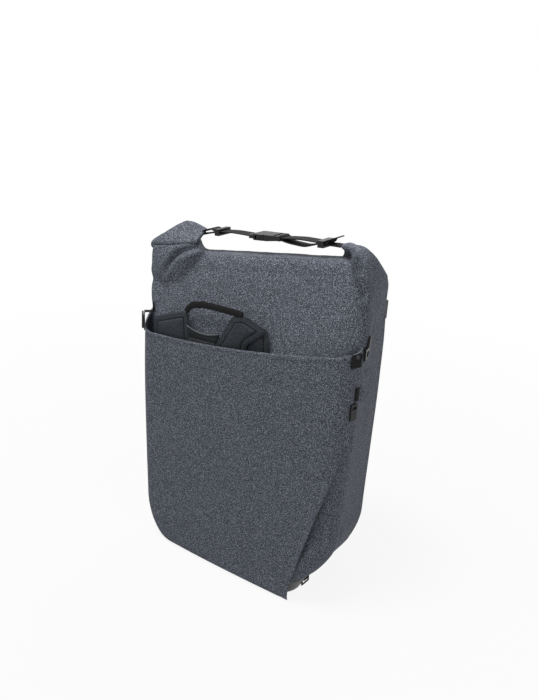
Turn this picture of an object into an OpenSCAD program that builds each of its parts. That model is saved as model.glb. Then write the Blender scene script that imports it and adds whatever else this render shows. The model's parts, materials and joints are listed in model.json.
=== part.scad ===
// Roll-top bicycle pannier with a backpack harness stowed behind its front cover.
// It stands on its base: +X towards the rear of the bicycle, +Y towards the rack, +Z up.
// Origin: bottom centre of the overall box. Millimetres.

/* [Bag] */
// Width across the front of the bag near its base
front_w = 322; // [300:1:340]
// Width across the back of the bag near its base
back_w = 264; // [250:1:280]
// How much each side of the filled bag swells, at the front
belly = 9; // [0:1:12]
// Depth of the filled bag, front cover to back panel
body_d = 175; // [160:1:195]
// Height of the crest of the roll at mid-width
crest_h = 452; // [440:1:465]
// Depth of the top of the back panel below the crest
back_drop = 48; // [44:1:57]
// How far each side draws in at the base
corner_w = 80; // [60:1:84]
// Height over which the sides draw in
corner_h = 90; // [80:1:100]
// Radius of the upright edges of the bag
edge_r = 26; // [20:1:32]
// Rise of the right end of the crest over the left, per unit of width
crest_slope = 0.09; // [0:0.01:0.12]
// How far the crest swings back towards its right end, per unit of width
crest_yaw = 0.05; // [0:0.01:0.1]
// Thickness of the coated fabric with its lining
wall = 2.5; // [1.5:0.5:4]
// Height up to which the black base wraps the bag
base_h = 26; // [20:1:28]

/* [Roll top] */
// Depth of the flat roll, front to back
roll_d = 60; // [50:1:70]
// Thickness of the flat roll
roll_t = 20; // [16:1:22]
// Thickness of each folded-over end
ear_t = 12; // [8:1:14]
// Gap between the roll and its folded-over ends
ear_gap = 9; // [6:1:11]
// Sideways place of the middle of the roll
roll_shift = -5; // [-8:1:0]
// Half distance between the tips of the folded ends
tip_x = 112; // [104:1:120]
// Set-back of the crest from the front of the bag
crest_back = 31; // [24:1:38]
// How far the right end of the roll spreads back over the bag's shoulder
flare = 55; // [0:5:60]
// Drop of that spread end at its rear edge
flare_drop = 45; // [30:5:55]
// Length of the stiffening strip in the roll
strip_len = 236; // [200:2:250]
// Thickness of the stiffening strip in the roll
strip_t = 2; // [1.5:0.5:3]

/* [Front cover and harness] */
// Room between the bag and its front cover at the mouth
pocket_gap = 16; // [15:1:20]
// Depth of the right upper corner of the cover below the crest
cover_drop = 66; // [60:1:77]
// Drop of the hem from the right corner to its lowest place, near the left corner
hem_drop = 57; // [30:1:66]
// Height of the left upper corner over the lowest place of the hem
corner_lift = 25; // [10:1:30]
// How sharply the hem climbs towards its right corner
hem_curve = 1.7; // [1:0.1:2.2]
// Half width of the cover at its foot, right of mid-width
cover_foot = 113; // [100:1:115]
// Depth below the crest at which the cover's right edge starts to slant inwards
slant_drop = 142; // [122:1:172]
// Thickness of the front cover
cover_t = 2.4; // [1.6:0.2:3.2]
// Thickness of a padded shoulder strap
pad_t = 7; // [5:0.5:7.5]
// Width of a padded shoulder strap
pad_w = 62; // [50:1:66]
// Diameter of the carry handle of the harness
grab_d = 8; // [6:0.5:9]

/* [Webbing] */
// Width of the webbing over the roll
web_w = 20; // [18:1:25]
// Thickness of the webbing
web_t = 1.6; // [1.2:0.2:1.8]
// Height of the strap over the crest of the roll
strap_rise = 34; // [31:1:38]

/* [Rack hooks] */
// Diameter of the rack tube that the hooks take
tube_d = 16; // [14:0.5:16]
// Radial clearance of a hook on its tube
hook_clear = 0.1; // [0.05:0.05:0.2]
// Wall of a hook over the tube
hook_wall = 4.5; // [4:0.5:6]
// Width of a hook along the tube
hook_w = 34; // [30:1:40]
// Half distance between the hooks
hook_x = 82; // [70:1:95]
// Depth of the rack tube's axis below the top of the back panel
tube_drop = 54; // [52:1:69]
// How much shorter the hook rail is than the back is wide
rail_inset = 24; // [14:1:30]
// Height of the hook rail
rail_h = 26; // [24:1:28]
// Thickness of the hook rail
rail_t = 6; // [5:0.5:8]
// Turn of the locking claws from locked to open
claw_turn = 70; // [60:1:72]

/* [Lower hook] */
// Height of the rail of the lower hook
lower_h = 130; // [100:1:170]
// Length of the rail of the lower hook
lower_len = 190; // [160:2:210]
// Travel of the lower hook to each side
lower_travel = 60; // [40:1:60]

/* [Hidden] */

// Colours
fabric_grey = [0.27, 0.28, 0.31];
black = [0.04, 0.04, 0.045];
soft_black = [0.07, 0.075, 0.08];
board_grey = [0.55, 0.55, 0.56];
steel = [0.62, 0.62, 0.64];

// Running gap between pieces that don't touch
gap = 0.3;

// Heights that follow the crest
back_h = crest_h - back_drop;
cover_h = crest_h - cover_drop;
slant_h = crest_h - slant_drop;
tube_h = back_h - tube_drop;

// Rack side: each layer stands on the one before it
back_t = 3.5;
base_plate_t = 5.5;
bore_r = tube_d / 2 + hook_clear;
hook_r = bore_r + hook_wall;
hook_reach = gap + back_t + rail_t + base_plate_t + bore_r + hook_r;
total_d = body_d + hook_reach;
front_y = -total_d / 2;
back_y = front_y + body_d;
plate_y = back_y + gap;
rail_y = plate_y + back_t;
hook_y = rail_y + rail_t;
tube_y = hook_y + base_plate_t + bore_r;
rail_z = back_h - rail_h - 2;
rail_len = back_w - rail_inset;

// Bag: half widths and fronts
front_hw = front_w / 2;
back_hw = back_w / 2;
bag_front = front_y + pocket_gap;
crest_front = front_y + crest_back;
crest_rear = crest_front + roll_d;
roll_floor = crest_h - roll_t;
cover_bottom = 3;
bag_crown = 1.5;
cover_crown = 2.5;
foot_front = front_y + cover_crown + cover_t + 0.5;
back_r = 18;
side_slope = (front_hw - back_hw) / (back_y - back_r - bag_front - edge_r);
side_turn = atan(side_slope);
back_in = 0.68;
arc_steps = 6;
flat_steps = 6;

function blend(z, a, b) = let (k = min(1, max(0, (z - a) / (b - a)))) k * k * (3 - 2 * k);
function mix(a, b, k) = a + (b - a) * k;

// Share of the crest's slope and yaw that a height takes
function top_share(z) = blend(z, cover_h - 40, roll_floor);
// Share of the belly that a height has
function swell(z) = belly * (blend(z, 30, 300) - 0.7 * blend(z, back_h - 9, roll_floor));
// Inset of a rounded lower edge: w wide and h high, an ellipse at p = 2 and flatter below it
function round_in(z, w, h, p = 2) = z < h ? w - w * pow(1 - pow((h - z) / h, p), 1 / p) : 0;
function side_in(z) = round_in(z, corner_w, corner_h, 1.35);
function edge_at(z) = mix(edge_r, 12, blend(z, cover_h + 5, roll_floor));
function bag_front_at(z) =
    mix(mix(foot_front, bag_front, blend(z, 50, 190)), crest_front, top_share(z)) + round_in(z, 10, 10);
function bag_back_at(z) = mix(back_y, crest_rear, blend(z, back_h + 2, roll_floor + 4)) - round_in(z, 10, 10);

// Point at arc length a from mid-width along the front of a rounded plan, and round its corners
function front_path(a, hw, y, r, crown) =
    let (s = abs(a), flat = hw - r, turn = r * PI / 2, d = a < 0 ? -1 : 1)
    s <= flat ? [a, y - crown * (1 - pow(s / flat, 2))]
    : s <= flat + turn ? let (t = (s - flat) / r * 180 / PI) [d * (flat + r * sin(t)), y + r - r * cos(t)]
    : let (back = s - flat - turn) [d * (hw - back * side_slope), y + r + back];

// Plan of the bag at a height, grown outwards by g: counter-clockwise from the front left
function bag_ring(z, g = 0) =
    let (
        fhw = front_hw + swell(z) + g - side_in(z), bhw = back_hw + swell(z) / 2 + g - side_in(z) * back_in,
        y0 = bag_front_at(z) - g, y1 = bag_back_at(z) + g,
        r = edge_at(z) + g, rb = back_r + g, k = top_share(z),
        flat = fhw - r, rear = bhw - rb,
        plan = concat(
            [for (i = [0:arc_steps]) let (t = 90 - 90 * i / arc_steps) [-flat - r * sin(t), y0 + r - r * cos(t)]],
            [for (i = [1:flat_steps - 1]) front_path(flat * (2 * i / flat_steps - 1), fhw, y0, r, bag_crown)],
            [for (i = [0:arc_steps]) let (t = 90 * i / arc_steps) [flat + r * sin(t), y0 + r - r * cos(t)]],
            [for (i = [0:arc_steps - 2]) let (t = 90 * i / (arc_steps - 2)) [rear + rb * cos(t), y1 - rb + rb * sin(t)]],
            [for (i = [0:arc_steps - 2]) let (t = 90 * i / (arc_steps - 2)) [-rear - rb * sin(t), y1 - rb + rb * cos(t)]]))
    [for (p = plan) let (fore = max(0, min(1, (y1 - p[1]) / (y1 - y0))))
        [p[0] + roll_shift * k, p[1] + crest_yaw * p[0] * k * fore, z + crest_slope * p[0] * k]];

// Triangles between m rings of n points
function walls(n, m) = [for (j = [0:m - 2], i = [0:n - 1]) let (a = j * n + i, b = j * n + (i + 1) % n)
    each [[a, a + n, b + n], [a, b + n, b]]];

// Closed solid through rings of as many points each, counter-clockwise seen from the way they climb
module skin(rings) {
    n = len(rings[0]);
    m = len(rings);
    bottom = [[for (i = [0:n - 1]) i]];
    top = [[for (i = [n - 1:-1:0]) (m - 1) * n + i]];
    polyhedron([for (r = rings) each r], concat(bottom, walls(n, m), top), convexity = 8);
}

// The same for rings that are thin strips: out along one face and back along the other
module strip_skin(rings) {
    n = len(rings[0]);
    m = len(rings);
    h = n / 2;
    e = (m - 1) * n;
    bottom = [for (i = [0:h - 2]) each [[i, i + 1, n - 2 - i], [i, n - 2 - i, n - 1 - i]]];
    top = [for (i = [0:h - 2]) each [[e + n - 1 - i, e + n - 2 - i, e + i + 1], [e + n - 1 - i, e + i + 1, e + i]]];
    polyhedron([for (r = rings) each r], concat(bottom, walls(n, m), top), convexity = 8);
}

// Outline of a band of thickness t along a row of points in a plane
function along(p, i) = let (a = p[max(0, i - 1)], b = p[min(len(p) - 1, i + 1)], d = b - a) d / norm(d);
function band(p, t) = concat(
    [for (i = [0:len(p) - 1]) let (d = along(p, i)) p[i] + [d[1], -d[0]] * t / 2],
    [for (i = [len(p) - 1:-1:0]) let (d = along(p, i)) p[i] - [d[1], -d[0]] * t / 2]);

// Webbing of width w along points in the XZ plane, centred at y
module webbing_xz(p, y, w = web_w, t = web_t) {
    translate([0, y + w / 2, 0]) rotate([90, 0, 0]) linear_extrude(w) polygon(band(p, t));
}

// Profile drawn in the YZ plane, extruded along X from x0
module extrude_x(x0, w) {
    translate([x0, 0, 0]) rotate([90, 0, 90]) linear_extrude(w) children();
}

module rounded_box(size, r) {
    linear_extrude(size[2]) rounded_rect([size[0], size[1]], r);
}

module rounded_rect(size, r) {
    hull() for (x = [-1, 1], y = [-1, 1])
        translate([x * (size[0] / 2 - r), y * (size[1] / 2 - r)]) circle(r, $fn = 32);
}

module rod_x(r, len) {
    rotate([0, 90, 0]) cylinder(r = r, h = len, center = true, $fn = 48);
}

module rod_y(r, len) {
    rotate([-90, 0, 0]) cylinder(r = r, h = len, $fn = 48);
}

// Pan-head screw along +Y, its head's seat at the origin
module screw_y(r, len, head_r, head_t) {
    rod_y(head_r, head_t);
    translate([0, -len, 0]) rod_y(r, len);
}

// ---------- Bag ----------

round_levels = [for (a = [0:11.25:90]) corner_h * (1 - cos(a))];
wall_levels = [for (k = [0, 0.12, 0.24, 0.41, 0.71, 1]) mix(corner_h + 35, cover_h - 56, k)];
top_levels = [cover_h - 36, cover_h - 16, cover_h + 5, back_h + 2, mix(back_h, roll_floor, 0.25),
    mix(back_h, roll_floor, 0.6), roll_floor - gap];
bag_levels = concat([for (z = round_levels) if (z > base_h + 1) z], wall_levels, top_levels);

module body_shell() {
    color(fabric_grey) difference() {
        skin([for (z = concat([base_h + gap], bag_levels)) bag_ring(z)]);
        skin([for (z = concat([base_h - 1], [for (q = bag_levels) if (q < roll_floor - 5) q],
            [roll_floor - wall - 3])) bag_ring(z, -wall)]);
        back_holes();
    }
}

module base_panel() {
    levels = [0, 0.8, 2.5, 5, 9, 14, base_h];
    color(black) difference() {
        skin([for (z = levels) bag_ring(z, -0.1)]);
        skin([for (z = [wall, 5, 9, 14, base_h + 1]) bag_ring(z, -wall)]);
    }
}

module base_board() {
    color(board_grey) translate([0, (bag_front + back_y) / 2, wall + gap])
        rounded_box([back_w - 2 * back_in * side_in(wall) - 16, body_d - pocket_gap - 34, 3], 12);
}

board_t = 2.5;

// Places of the screws that hold the two rails through the back panel and fabric to the inner board
rail_screw_x = [-1, -0.3, 0.3, 1] * (back_hw - back_r - 6);
lower_screw_x = [-1, 1] * (lower_len / 2 - 8);
screw_r = 2;

module back_holes(r = screw_r + 0.15) {
    for (x = rail_screw_x) translate([x, back_y - 12, rail_z + rail_h / 2]) rod_y(r, 30);
    for (x = lower_screw_x) translate([x, back_y - 12, lower_h]) rod_y(r, 30);
}

module inner_board() {
    w = back_w - 2 * back_r;
    z0 = corner_h - 10;
    h = back_h - 5 - z0;
    color(board_grey) difference() {
        translate([0, back_y - wall - gap, z0 + h / 2]) rotate([90, 0, 0]) rounded_box([w, h, board_t], 20);
        back_holes();
    }
}

// Flat padded sleeve hung on the inner board, open at its top
module inner_sleeve() {
    w = back_w - 2 * back_r - 20;
    h = 260;
    d = 18;
    z0 = 70;
    color(soft_black) translate([0, back_y - wall - board_t - 2 * gap - d / 2, z0]) difference() {
        rounded_box([w, d, h], 8);
        translate([0, 0, 3]) rounded_box([w - 6, d - 6, h], 5);
    }
}

module back_panel() {
    r = 26;
    top_x = back_hw - 8 - r;
    color(soft_black) difference() {
        translate([0, plate_y + back_t, 0]) rotate([90, 0, 0]) linear_extrude(back_t) hull() for (side = [-1, 1]) {
            translate([side * top_x, back_h - r]) circle(r, $fn = 32);
            translate([side * top_x, corner_h]) circle(r, $fn = 32);
            translate([side * (top_x - 14), 38 + r]) circle(r, $fn = 32);
        }
        back_holes();
    }
}

// ---------- Roll top ----------

roll_mid = crest_h - roll_t / 2;
fold_t = 14;
ear_mid = crest_h + ear_gap + ear_t / 2;
fold_mid = roll_floor + fold_t / 2;
fold_r = (ear_mid - fold_mid) / 2;
fold_x = front_hw - 1 - fold_r - fold_t / 2;
ear_tilt = 12;
tip_w = web_w + 2;
tip_y = crest_front + 0.75 * (roll_d - tip_w);
ring_points = 16;
strap_slope = 0.1;
rear_lean = 0.28;

// Height of the strap over the roll
function strap_z(x) = crest_h + strap_rise + strap_slope * x;

function squared(v, p) = sign(v) * pow(abs(v), p);

// Cross-section of the roll: centre [x, z], heading t, half thickness ht, y from y0 to y1, tilt about y0;
// towards its rear it can drop and lean inwards
function roll_ring(c, t, ht, y0, y1, tilt, drop = 0) =
    [for (i = [0:ring_points - 1]) let (
        q = 360 * i / ring_points,
        v = (1 + squared(cos(q), 0.55)) / 2 * (y1 - y0),
        h = ht * squared(sin(q), 0.7),
        k = v / (y1 - y0))
        [roll_shift + c[0] - sin(t) * h - rear_lean * drop * k * k, y0 + v * cos(tilt) + crest_yaw * c[0],
            c[1] + cos(t) * h + v * sin(tilt) + crest_slope * c[0] - drop * pow(k, 3)]];

// One end of the roll, from mid-width out, round its fold and back to its tip; side is -1 or 1
function lower_run(side) = [for (x = side < 0 ? [0.99, 0.8, 0] : [0.8, 0.99])
    let (ht = mix(roll_t, fold_t, blend(x, 0.8, 0.98)) / 2)
    roll_ring([side * x * fold_x, roll_floor + ht], 0, ht, crest_front, crest_rear, 0)];

// The right end spreads back as it turns over, and its ear narrows again to the tip
function spread(side, k) = side < 0 ? 0 : min(1, 2 * k);

function fold_run(side) = [for (a = [30:30:150]) let (k = a / 180, s = spread(side, k))
    roll_ring([side * (fold_x + fold_r * sin(a)), fold_mid + fold_r - fold_r * cos(a)], side * a,
        mix(fold_t, ear_t, k) / 2, crest_front, crest_rear + s * flare, ear_tilt * k, s * flare_drop)];

// Rise of a tip over its ear, up to the strap that it is joined to
function tip_rise(side) = strap_z(side * tip_x) - crest_slope * (side * tip_x - roll_shift) - ear_mid
    - tip_w / 2 * sin(ear_tilt);

function ear_run(side) = [for (k = [0, 0.35, 0.7, 1])
    roll_ring([mix(side * fold_x, side * tip_x - roll_shift, k), ear_mid + pow(k, 1.5) * tip_rise(side)], 180,
        mix(ear_t, ear_t * 0.6, k) / 2,
        mix(crest_front, tip_y, k), mix(crest_rear + spread(side, 1) * flare, tip_y + tip_w, k), ear_tilt,
        (1 - k) * spread(side, 1) * flare_drop)];

function flipped(rings) = [for (i = [len(rings) - 1:-1:0]) rings[i]];

// The right half turns left over its fold, so its ear's sections keep their sense of turn
roll_rings = concat(flipped(concat(fold_run(-1), ear_run(-1))), lower_run(-1), lower_run(1), fold_run(1),
    ear_run(1));

module roll_top() {
    color(fabric_grey) difference() {
        skin([for (r = roll_rings) r]);
        roll_strip(gap);
    }
}

// The strip follows the slope and yaw of the crest
module roll_strip(grow) {
    edge = 12 - grow;
    y = [crest_rear - edge, crest_rear - edge, crest_front + edge, crest_front + edge];
    z = [-1, 1, 1, -1] * (strip_t / 2 + grow);
    skin([for (x = [-1, 1] * (strip_len / 2 + grow))
        [for (i = [0:3]) [x + roll_shift, y[i] + crest_yaw * x, roll_mid + z[i] + crest_slope * x]]]);
}

module roll_stiffener() {
    color(board_grey) roll_strip(0);
}

// ---------- Front cover ----------

cover_rows = [0, 0.008, 0.022, 0.045, 0.08, 0.13, 0.2, 0.28, 0.37, 0.46, 0.55, 0.64, 0.73, 0.82, 0.91, 1];
cover_cols = 34;
hem_low_u = 0.12;
cover_in = 0.75;

// Height of the cover's upper hem at share u of its width, from its left corner
function hem(u) = let (v = hem_share(u)) mix(cover_h - hem_drop, cover_h, pow(v, hem_curve))
    + (v < hem_low_u ? corner_lift * pow(1 - v / hem_low_u, 2) : 0);
function hem_share(u) = let (flat = front_hw + belly + gap + 2 - edge_r, half = flat + edge_r * PI / 2 + 7)
    0.5 + cover_along(u, -half, -flat, flat, half) / (2 * half);

// Plan of the cover's inner face at a height: its left side draws in at the base, its right foot stands free
function cover_hw(z, side = -1) = front_hw + swell(z) + gap + 2 * blend(z, 20, 140)
    - (side < 0 ? round_in(z, corner_w * cover_in * 0.8, corner_h * cover_in) : 0);
function cover_y(z) = front_y + cover_crown + cover_t + round_in(z, 8, 8);
function cover_end(z) = let (full = cover_hw(z, 1) - edge_r + edge_r * PI / 2 + 7)
    min(full, cover_foot + max(0, z - 20) * (full - cover_foot) / (slant_h - 20));
function cover_start(z) = -(cover_hw(z) - edge_r + edge_r * PI / 2 + 7);

function cover_row(j) = [for (i = [0:cover_cols]) let (u = i / cover_cols, z = mix(cover_bottom, hem(u), j))
    [cover_along(u, cover_start(z), edge_r - cover_hw(z), cover_hw(z, 1) - edge_r, cover_end(z)), z]];

// Arc length at share u of a row: its end shares take the corners
function cover_along(u, start, left, right, end) = let (k = 0.26, r = min(right, end - 4))
    u < k ? mix(start, left, u / k) : u < 1 - k ? mix(left, r, (u - k) / (1 - 2 * k)) : mix(r, end, (u - 1 + k) / k);

function cover_point(q, g) =
    let (p = front_path(q[0], cover_hw(q[1], sign(q[0])) + g, cover_y(q[1]) - g, edge_r + g, cover_crown))
    [p[0], p[1], q[1]];

module front_cover() {
    color(fabric_grey) strip_skin([for (j = cover_rows) let (row = cover_row(j)) concat(
        [for (q = row) cover_point(q, cover_t)],
        [for (i = [cover_cols:-1:0]) cover_point(row[i], 0)])]);
}

// ---------- Harness in the pocket ----------

pad_y = bag_front - bag_crown - gap - pad_t;
pad_foot = 200;
pad_corner = 7;
pad_top = cover_h - 20;
left_pad = [[-142, pad_foot], [-143, pad_top - 19], [-94, pad_top], [-140 + pad_w, pad_foot]];
right_pad = [[-30 + pad_w, pad_foot], [42, pad_top - 14], [38, pad_top + 8], [8, pad_top + 15],
    [-36, pad_top - 44], [-30, pad_foot]];

// Outline with rounded corners
module pad_outline(points) {
    hull() for (p = points) translate(p) circle(pad_corner, $fn = 24);
}

// Padded piece drawn in the XZ plane, from y to y + t, with softened faces
module padded(y, t) {
    soft = 2.5;
    translate([0, y + t, 0]) rotate([90, 0, 0]) {
        translate([0, 0, soft]) linear_extrude(t - 2 * soft) children();
        linear_extrude(t) offset(delta = -soft) children();
    }
}

module harness_pad_left() {
    color(soft_black) padded(pad_y, pad_t) pad_outline(left_pad);
}

module harness_pad_right() {
    color(soft_black) padded(pad_y, pad_t) pad_outline(right_pad);
}

yoke_t = 5;
yoke_foot = pad_foot + 10;

module harness_yoke() {
    color(soft_black) translate([0, pad_y + pad_t - 1, 0])
        rotate([90, 0, 0]) linear_extrude(yoke_t) difference() {
        polygon([[-100, yoke_foot], [-100, pad_top + 2], [-84, pad_top - 18], [-62, pad_top - 31],
            [-30, pad_top - 35], [0, pad_top - 17], [0, yoke_foot]]);
        offset(gap) pad_outline(left_pad);
        offset(gap) pad_outline(right_pad);
    }
}

module harness_mesh() {
    color(black) translate([0, pad_y + pad_t - 1 - yoke_t - gap, 0])
        rotate([90, 0, 0]) linear_extrude(2) difference() {
        polygon([[-100, yoke_foot], [-100, pad_top - 36], [-62, pad_top - 44], [-30, pad_top - 46],
            [0, pad_top - 36], [0, yoke_foot]]);
        offset(gap) pad_outline(left_pad);
        offset(gap) pad_outline(right_pad);
    }
}

// Arched carry handle between the upper ends of the two pads
handle_arc = [[-89.5, 8.5], [-86, 14], [-78, 20], [-62, 24], [-40, 26], [-18, 26.4], [-4, 26.6], [6, 25.9]];
handle_path = [for (p = handle_arc) [p[0], pad_top + p[1]]];

function tube_rings(path, r, y, n = 10) = [for (i = [0:len(path) - 1]) let (d = along(path, i))
    [for (k = [0:n - 1]) let (a = 360 * k / n)
        [path[i][0] - d[1] * r * sin(a), y + r * cos(a), path[i][1] + d[0] * r * sin(a)]]];

module harness_handle() {
    color(black) skin(tube_rings(handle_path, grab_d / 2, pad_y + pad_t / 2));
}

// ---------- Rack hooks ----------

claw_r0 = bore_r + 0.4;
claw_r1 = claw_r0 + 3;
claw_a0 = 200;
claw_a1 = 275;
cheek = 6;
crank_r = 12.8;
crank_a = 198;
pin_r = 1.5;
lift = crank_r * (sin(crank_a - claw_turn) - sin(crank_a));
screw_z = rail_z + rail_h / 2;
post_y = -bore_r - base_plate_t / 2 - 0.3;

// Part of a ring round the tube, between two angles from +Y
module ring_part(r0, r1, a0, a1) {
    steps = ceil((a1 - a0) / 30);
    intersection() {
        difference() {
            circle(r1, $fn = 64);
            if (r0 > 0) circle(r0, $fn = 64);
        }
        polygon(concat([[0, 0]], [for (i = [0:steps]) let (a = mix(a0, a1, i / steps)) 2 * r1 * [cos(a), sin(a)]]));
    }
}

// Hook in its own frame: tube axis along X at the origin, its inner end at x = 0
module hook() {
    base_y = -bore_r - base_plate_t;
    top = rail_z + rail_h - tube_h;
    difference() {
        union() {
            extrude_x(0, hook_w) {
                translate([base_y, -18]) square([base_plate_t, top + 18]);
                intersection() {
                    circle(hook_r, $fn = 96);
                    translate([base_y, 0]) square([hook_r - base_y, hook_r]);
                }
                translate([0, -7]) square([hook_r, 7]);
            }
            translate([hook_w - 1, post_y, -10]) rotate([0, 90, 0]) cylinder(r = 1.9, h = 5.6, $fn = 32);
            // Ribs that brace the arch to the plate
            for (x = [0, hook_w / 2 - 1.5, hook_w - 3]) extrude_x(x, 3)
                polygon([[base_y + 1, 0], [0, hook_r - 1], [base_y + base_plate_t - 0.5, hook_r + 12],
                    [base_y + 1, hook_r + 12]]);
        }
        extrude_x(-1, hook_w + 2) {
            circle(bore_r, $fn = 96);
            translate([-bore_r, -20]) square([2 * bore_r, 20]);
        }
        // Room for the claw, and the groove that its rib runs in
        extrude_x(-1, hook_w - cheek + 1) ring_part(0, claw_r1 + gap, claw_a0 - claw_turn - 8, claw_a0 + 70);
        extrude_x(hook_w - cheek - 1, 3.4) ring_part(claw_r0 + 0.5, claw_r1 - 0.4, claw_a0 - claw_turn - 6, claw_a0 + 24);
        translate([hook_w / 2, base_y - 1, screw_z - tube_h]) rod_y(2.6, base_plate_t + 2);
    }
}

// Claw in the same frame, locked under the tube; its crank stands at the hook's inner end
module claw() {
    extrude_x(-3, hook_w - cheek + 3 - gap) ring_part(claw_r0, claw_r1, claw_a0, claw_a1);
    extrude_x(hook_w - cheek - 1, 2.8) ring_part(claw_r0 + 0.8, claw_r1 - 0.7, claw_a0 + 1, claw_a0 + 16);
    extrude_x(-3, 2.6) ring_part(claw_r0 + 1, crank_r + pin_r + 1.2, crank_a - 9, crank_a + 9);
    translate([-5, crank_r * cos(crank_a), crank_r * sin(crank_a)]) rod_x(pin_r, 5);
}

// Puts a hook's parts on the right; the left is its mirror image
module at_hook(side) {
    mirror([side < 0 ? 1 : 0, 0, 0]) translate([hook_x - hook_w / 2, tube_y, tube_h]) children();
}

module rack_hook_left() {
    color(black) at_hook(-1) hook();
}

module rack_hook_right() {
    color(black) at_hook(1) hook();
}

module claw_left() {
    color([0.3, 0.31, 0.33]) at_hook(-1) claw();
}

module claw_right() {
    color([0.3, 0.31, 0.33]) at_hook(1) claw();
}

// Coil beside each hook that turns its claw back, on a post of the hook's plate
module claw_springs() {
    color(steel) for (side = [-1, 1]) at_hook(side)
        translate([hook_w + gap, post_y, -10]) rotate([0, 90, 0]) difference() {
            cylinder(r = 3.2, h = 4, $fn = 32);
            translate([0, 0, -1]) cylinder(r = 2.2, h = 6, $fn = 32);
        }
}

slot_h = 5.4;
channel_h = 14;
channel_d = 3;
slot_out = rail_screw_x[3] - 8;
slot_len = 36;

module hook_rail() {
    color([0.14, 0.14, 0.15]) difference() {
        translate([-rail_len / 2, rail_y, rail_z]) cube([rail_len, rail_t, rail_h]);
        translate([-rail_len / 2 - 1, rail_y - 1, screw_z - channel_h / 2]) cube([rail_len + 2, channel_d + 1, channel_h]);
        for (z = [rail_z, rail_z + rail_h]) translate([-rail_len / 2 - 1, hook_y, z]) rotate([45, 0, 0])
            translate([0, -0.7, -0.7]) cube([rail_len + 2, 1.4, 1.4]);
        // Slots along which the hooks can be spaced to suit a rack
        for (side = [-1, 1]) translate([side * (slot_out - slot_len / 2), rail_y - 1, screw_z]) {
            translate([-slot_len / 2, 0, -slot_h / 2]) cube([slot_len, rail_t + 2, slot_h]);
            for (e = [-1, 1]) translate([e * slot_len / 2, 0, 0]) rod_y(slot_h / 2, rail_t + 2);
        }
        for (x = rail_screw_x) translate([x, rail_y - 1, screw_z]) rod_y(screw_r + 0.15, rail_t + 2);
    }
}

// Square nuts that the hooks clamp to, in the rail's channel
module hook_nuts() {
    color(steel) for (side = [-1, 1]) translate([side * hook_x, rail_y + gap, screw_z]) difference() {
        translate([-6, 0, -6.8]) cube([12, channel_d - gap, 13.6]);
        translate([0, -1, 0]) rod_y(2.5, channel_d + 2);
    }
}

module rail_end_caps() {
    cap = 4;
    color(black) for (side = [-1, 1])
        translate([side * (rail_len / 2 + gap / 2 + cap / 2), rail_y + (rail_t + 1) / 2, screw_z])
        rotate([0, 90, 0]) translate([0, 0, -cap / 2]) rounded_box([rail_h + 1, rail_t + 1, cap], 2);
}

module rail_screws() {
    color(steel) for (x = rail_screw_x) translate([x, hook_y, screw_z])
        difference() {
            screw_y(screw_r, rail_t + back_t + wall + board_t + 3 * gap, 4, 1.8);
            translate([0, 0.8, 0]) rotate([-90, 0, 0]) cylinder(r = 1.6, h = 2, $fn = 6);
        }
}

module hook_screws() {
    color(steel) for (side = [-1, 1]) translate([side * hook_x, hook_y + base_plate_t, screw_z]) difference() {
        screw_y(2.45, base_plate_t + rail_t - gap - 0.2, 5, 2.6);
        translate([0, 1.2, 0]) rotate([-90, 0, 0]) cylinder(r = 2, h = 2, $fn = 6);
    }
}

// ---------- Release handle ----------

link_t = 3;
link_x = hook_x - hook_w / 2 - 6.4;
handle_z = rail_z + 17;
handle_w = 18;
handle_y = hook_y + 3.2 + handle_w / 2;
bar_z = tube_h + 15;

module link_outline() {
    y0 = -crank_r - 2 * pin_r - 1.2;
    y1 = crank_r * cos(crank_a - claw_turn) + 2 * pin_r + 2.2;
    z0 = crank_r * sin(crank_a);
    slot = pin_r + 1;
    play = pin_r + gap;
    difference() {
        union() {
            translate([y0, z0 - slot - 2.2]) square([y1 - y0, 2 * slot + 4.4]);
            translate([-bore_r - base_plate_t + 1.4, z0]) square([6, bar_z - tube_h - z0 - 1]);
        }
        translate([y0 + 1.8, z0 - play]) square([y1 - y0 - 3.6, play + slot]);
    }
}

// Slotted plates that lift the cranks, each with a bar for the webbing
module handle_links() {
    color(black) for (side = [-1, 1]) mirror([side < 0 ? 1 : 0, 0, 0]) {
        translate([0, tube_y, tube_h]) extrude_x(link_x - link_t / 2, link_t) link_outline();
        translate([link_x, hook_y + 1, bar_z - 1]) rod_y(2, handle_w + 2.6);
    }
}

module handle_webbing() {
    rise = handle_z - bar_z;
    p = [[-link_x, bar_z + 2.2], [-link_x + 3, bar_z + rise * 0.5], [-link_x + 12, handle_z - 1], [-40, handle_z]];
    color(black) webbing_xz(concat(p, [for (i = [3:-1:0]) [-p[i][0], p[i][1]]]), handle_y, handle_w, web_t);
}

module handle_grip() {
    color(soft_black) difference() {
        translate([0, handle_y, handle_z]) rotate([0, 90, 0]) translate([0, 0, -37])
            rounded_box([9, handle_w + 2.2, 74], 4);
        translate([-50, handle_y - handle_w / 2 - gap / 2, handle_z - web_t / 2 - gap])
            cube([100, handle_w + gap, web_t + 2 * gap]);
    }
}

// ---------- Lower hook ----------

lower_t = 8;
lower_w = 24;
neck_w = 10;
tee_w = 16;
tee_t = 4;
spigot_r = 4;
face_y = rail_y + lower_t;

module lower_rail() {
    end = lower_travel + 12;
    color([0.14, 0.14, 0.15]) difference() {
        translate([0, rail_y + lower_t, lower_h]) rotate([90, 0, 0]) rounded_box([lower_len, lower_w, lower_t], 8);
        translate([-end, rail_y + 1, lower_h - tee_w / 2]) cube([2 * end, tee_t, tee_w]);
        translate([-end, rail_y + 1, lower_h - neck_w / 2]) cube([2 * end, lower_t, neck_w]);
        for (x = lower_screw_x) translate([x, rail_y - 1, lower_h]) rod_y(screw_r + 0.15, lower_t + 2);
    }
}

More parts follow.
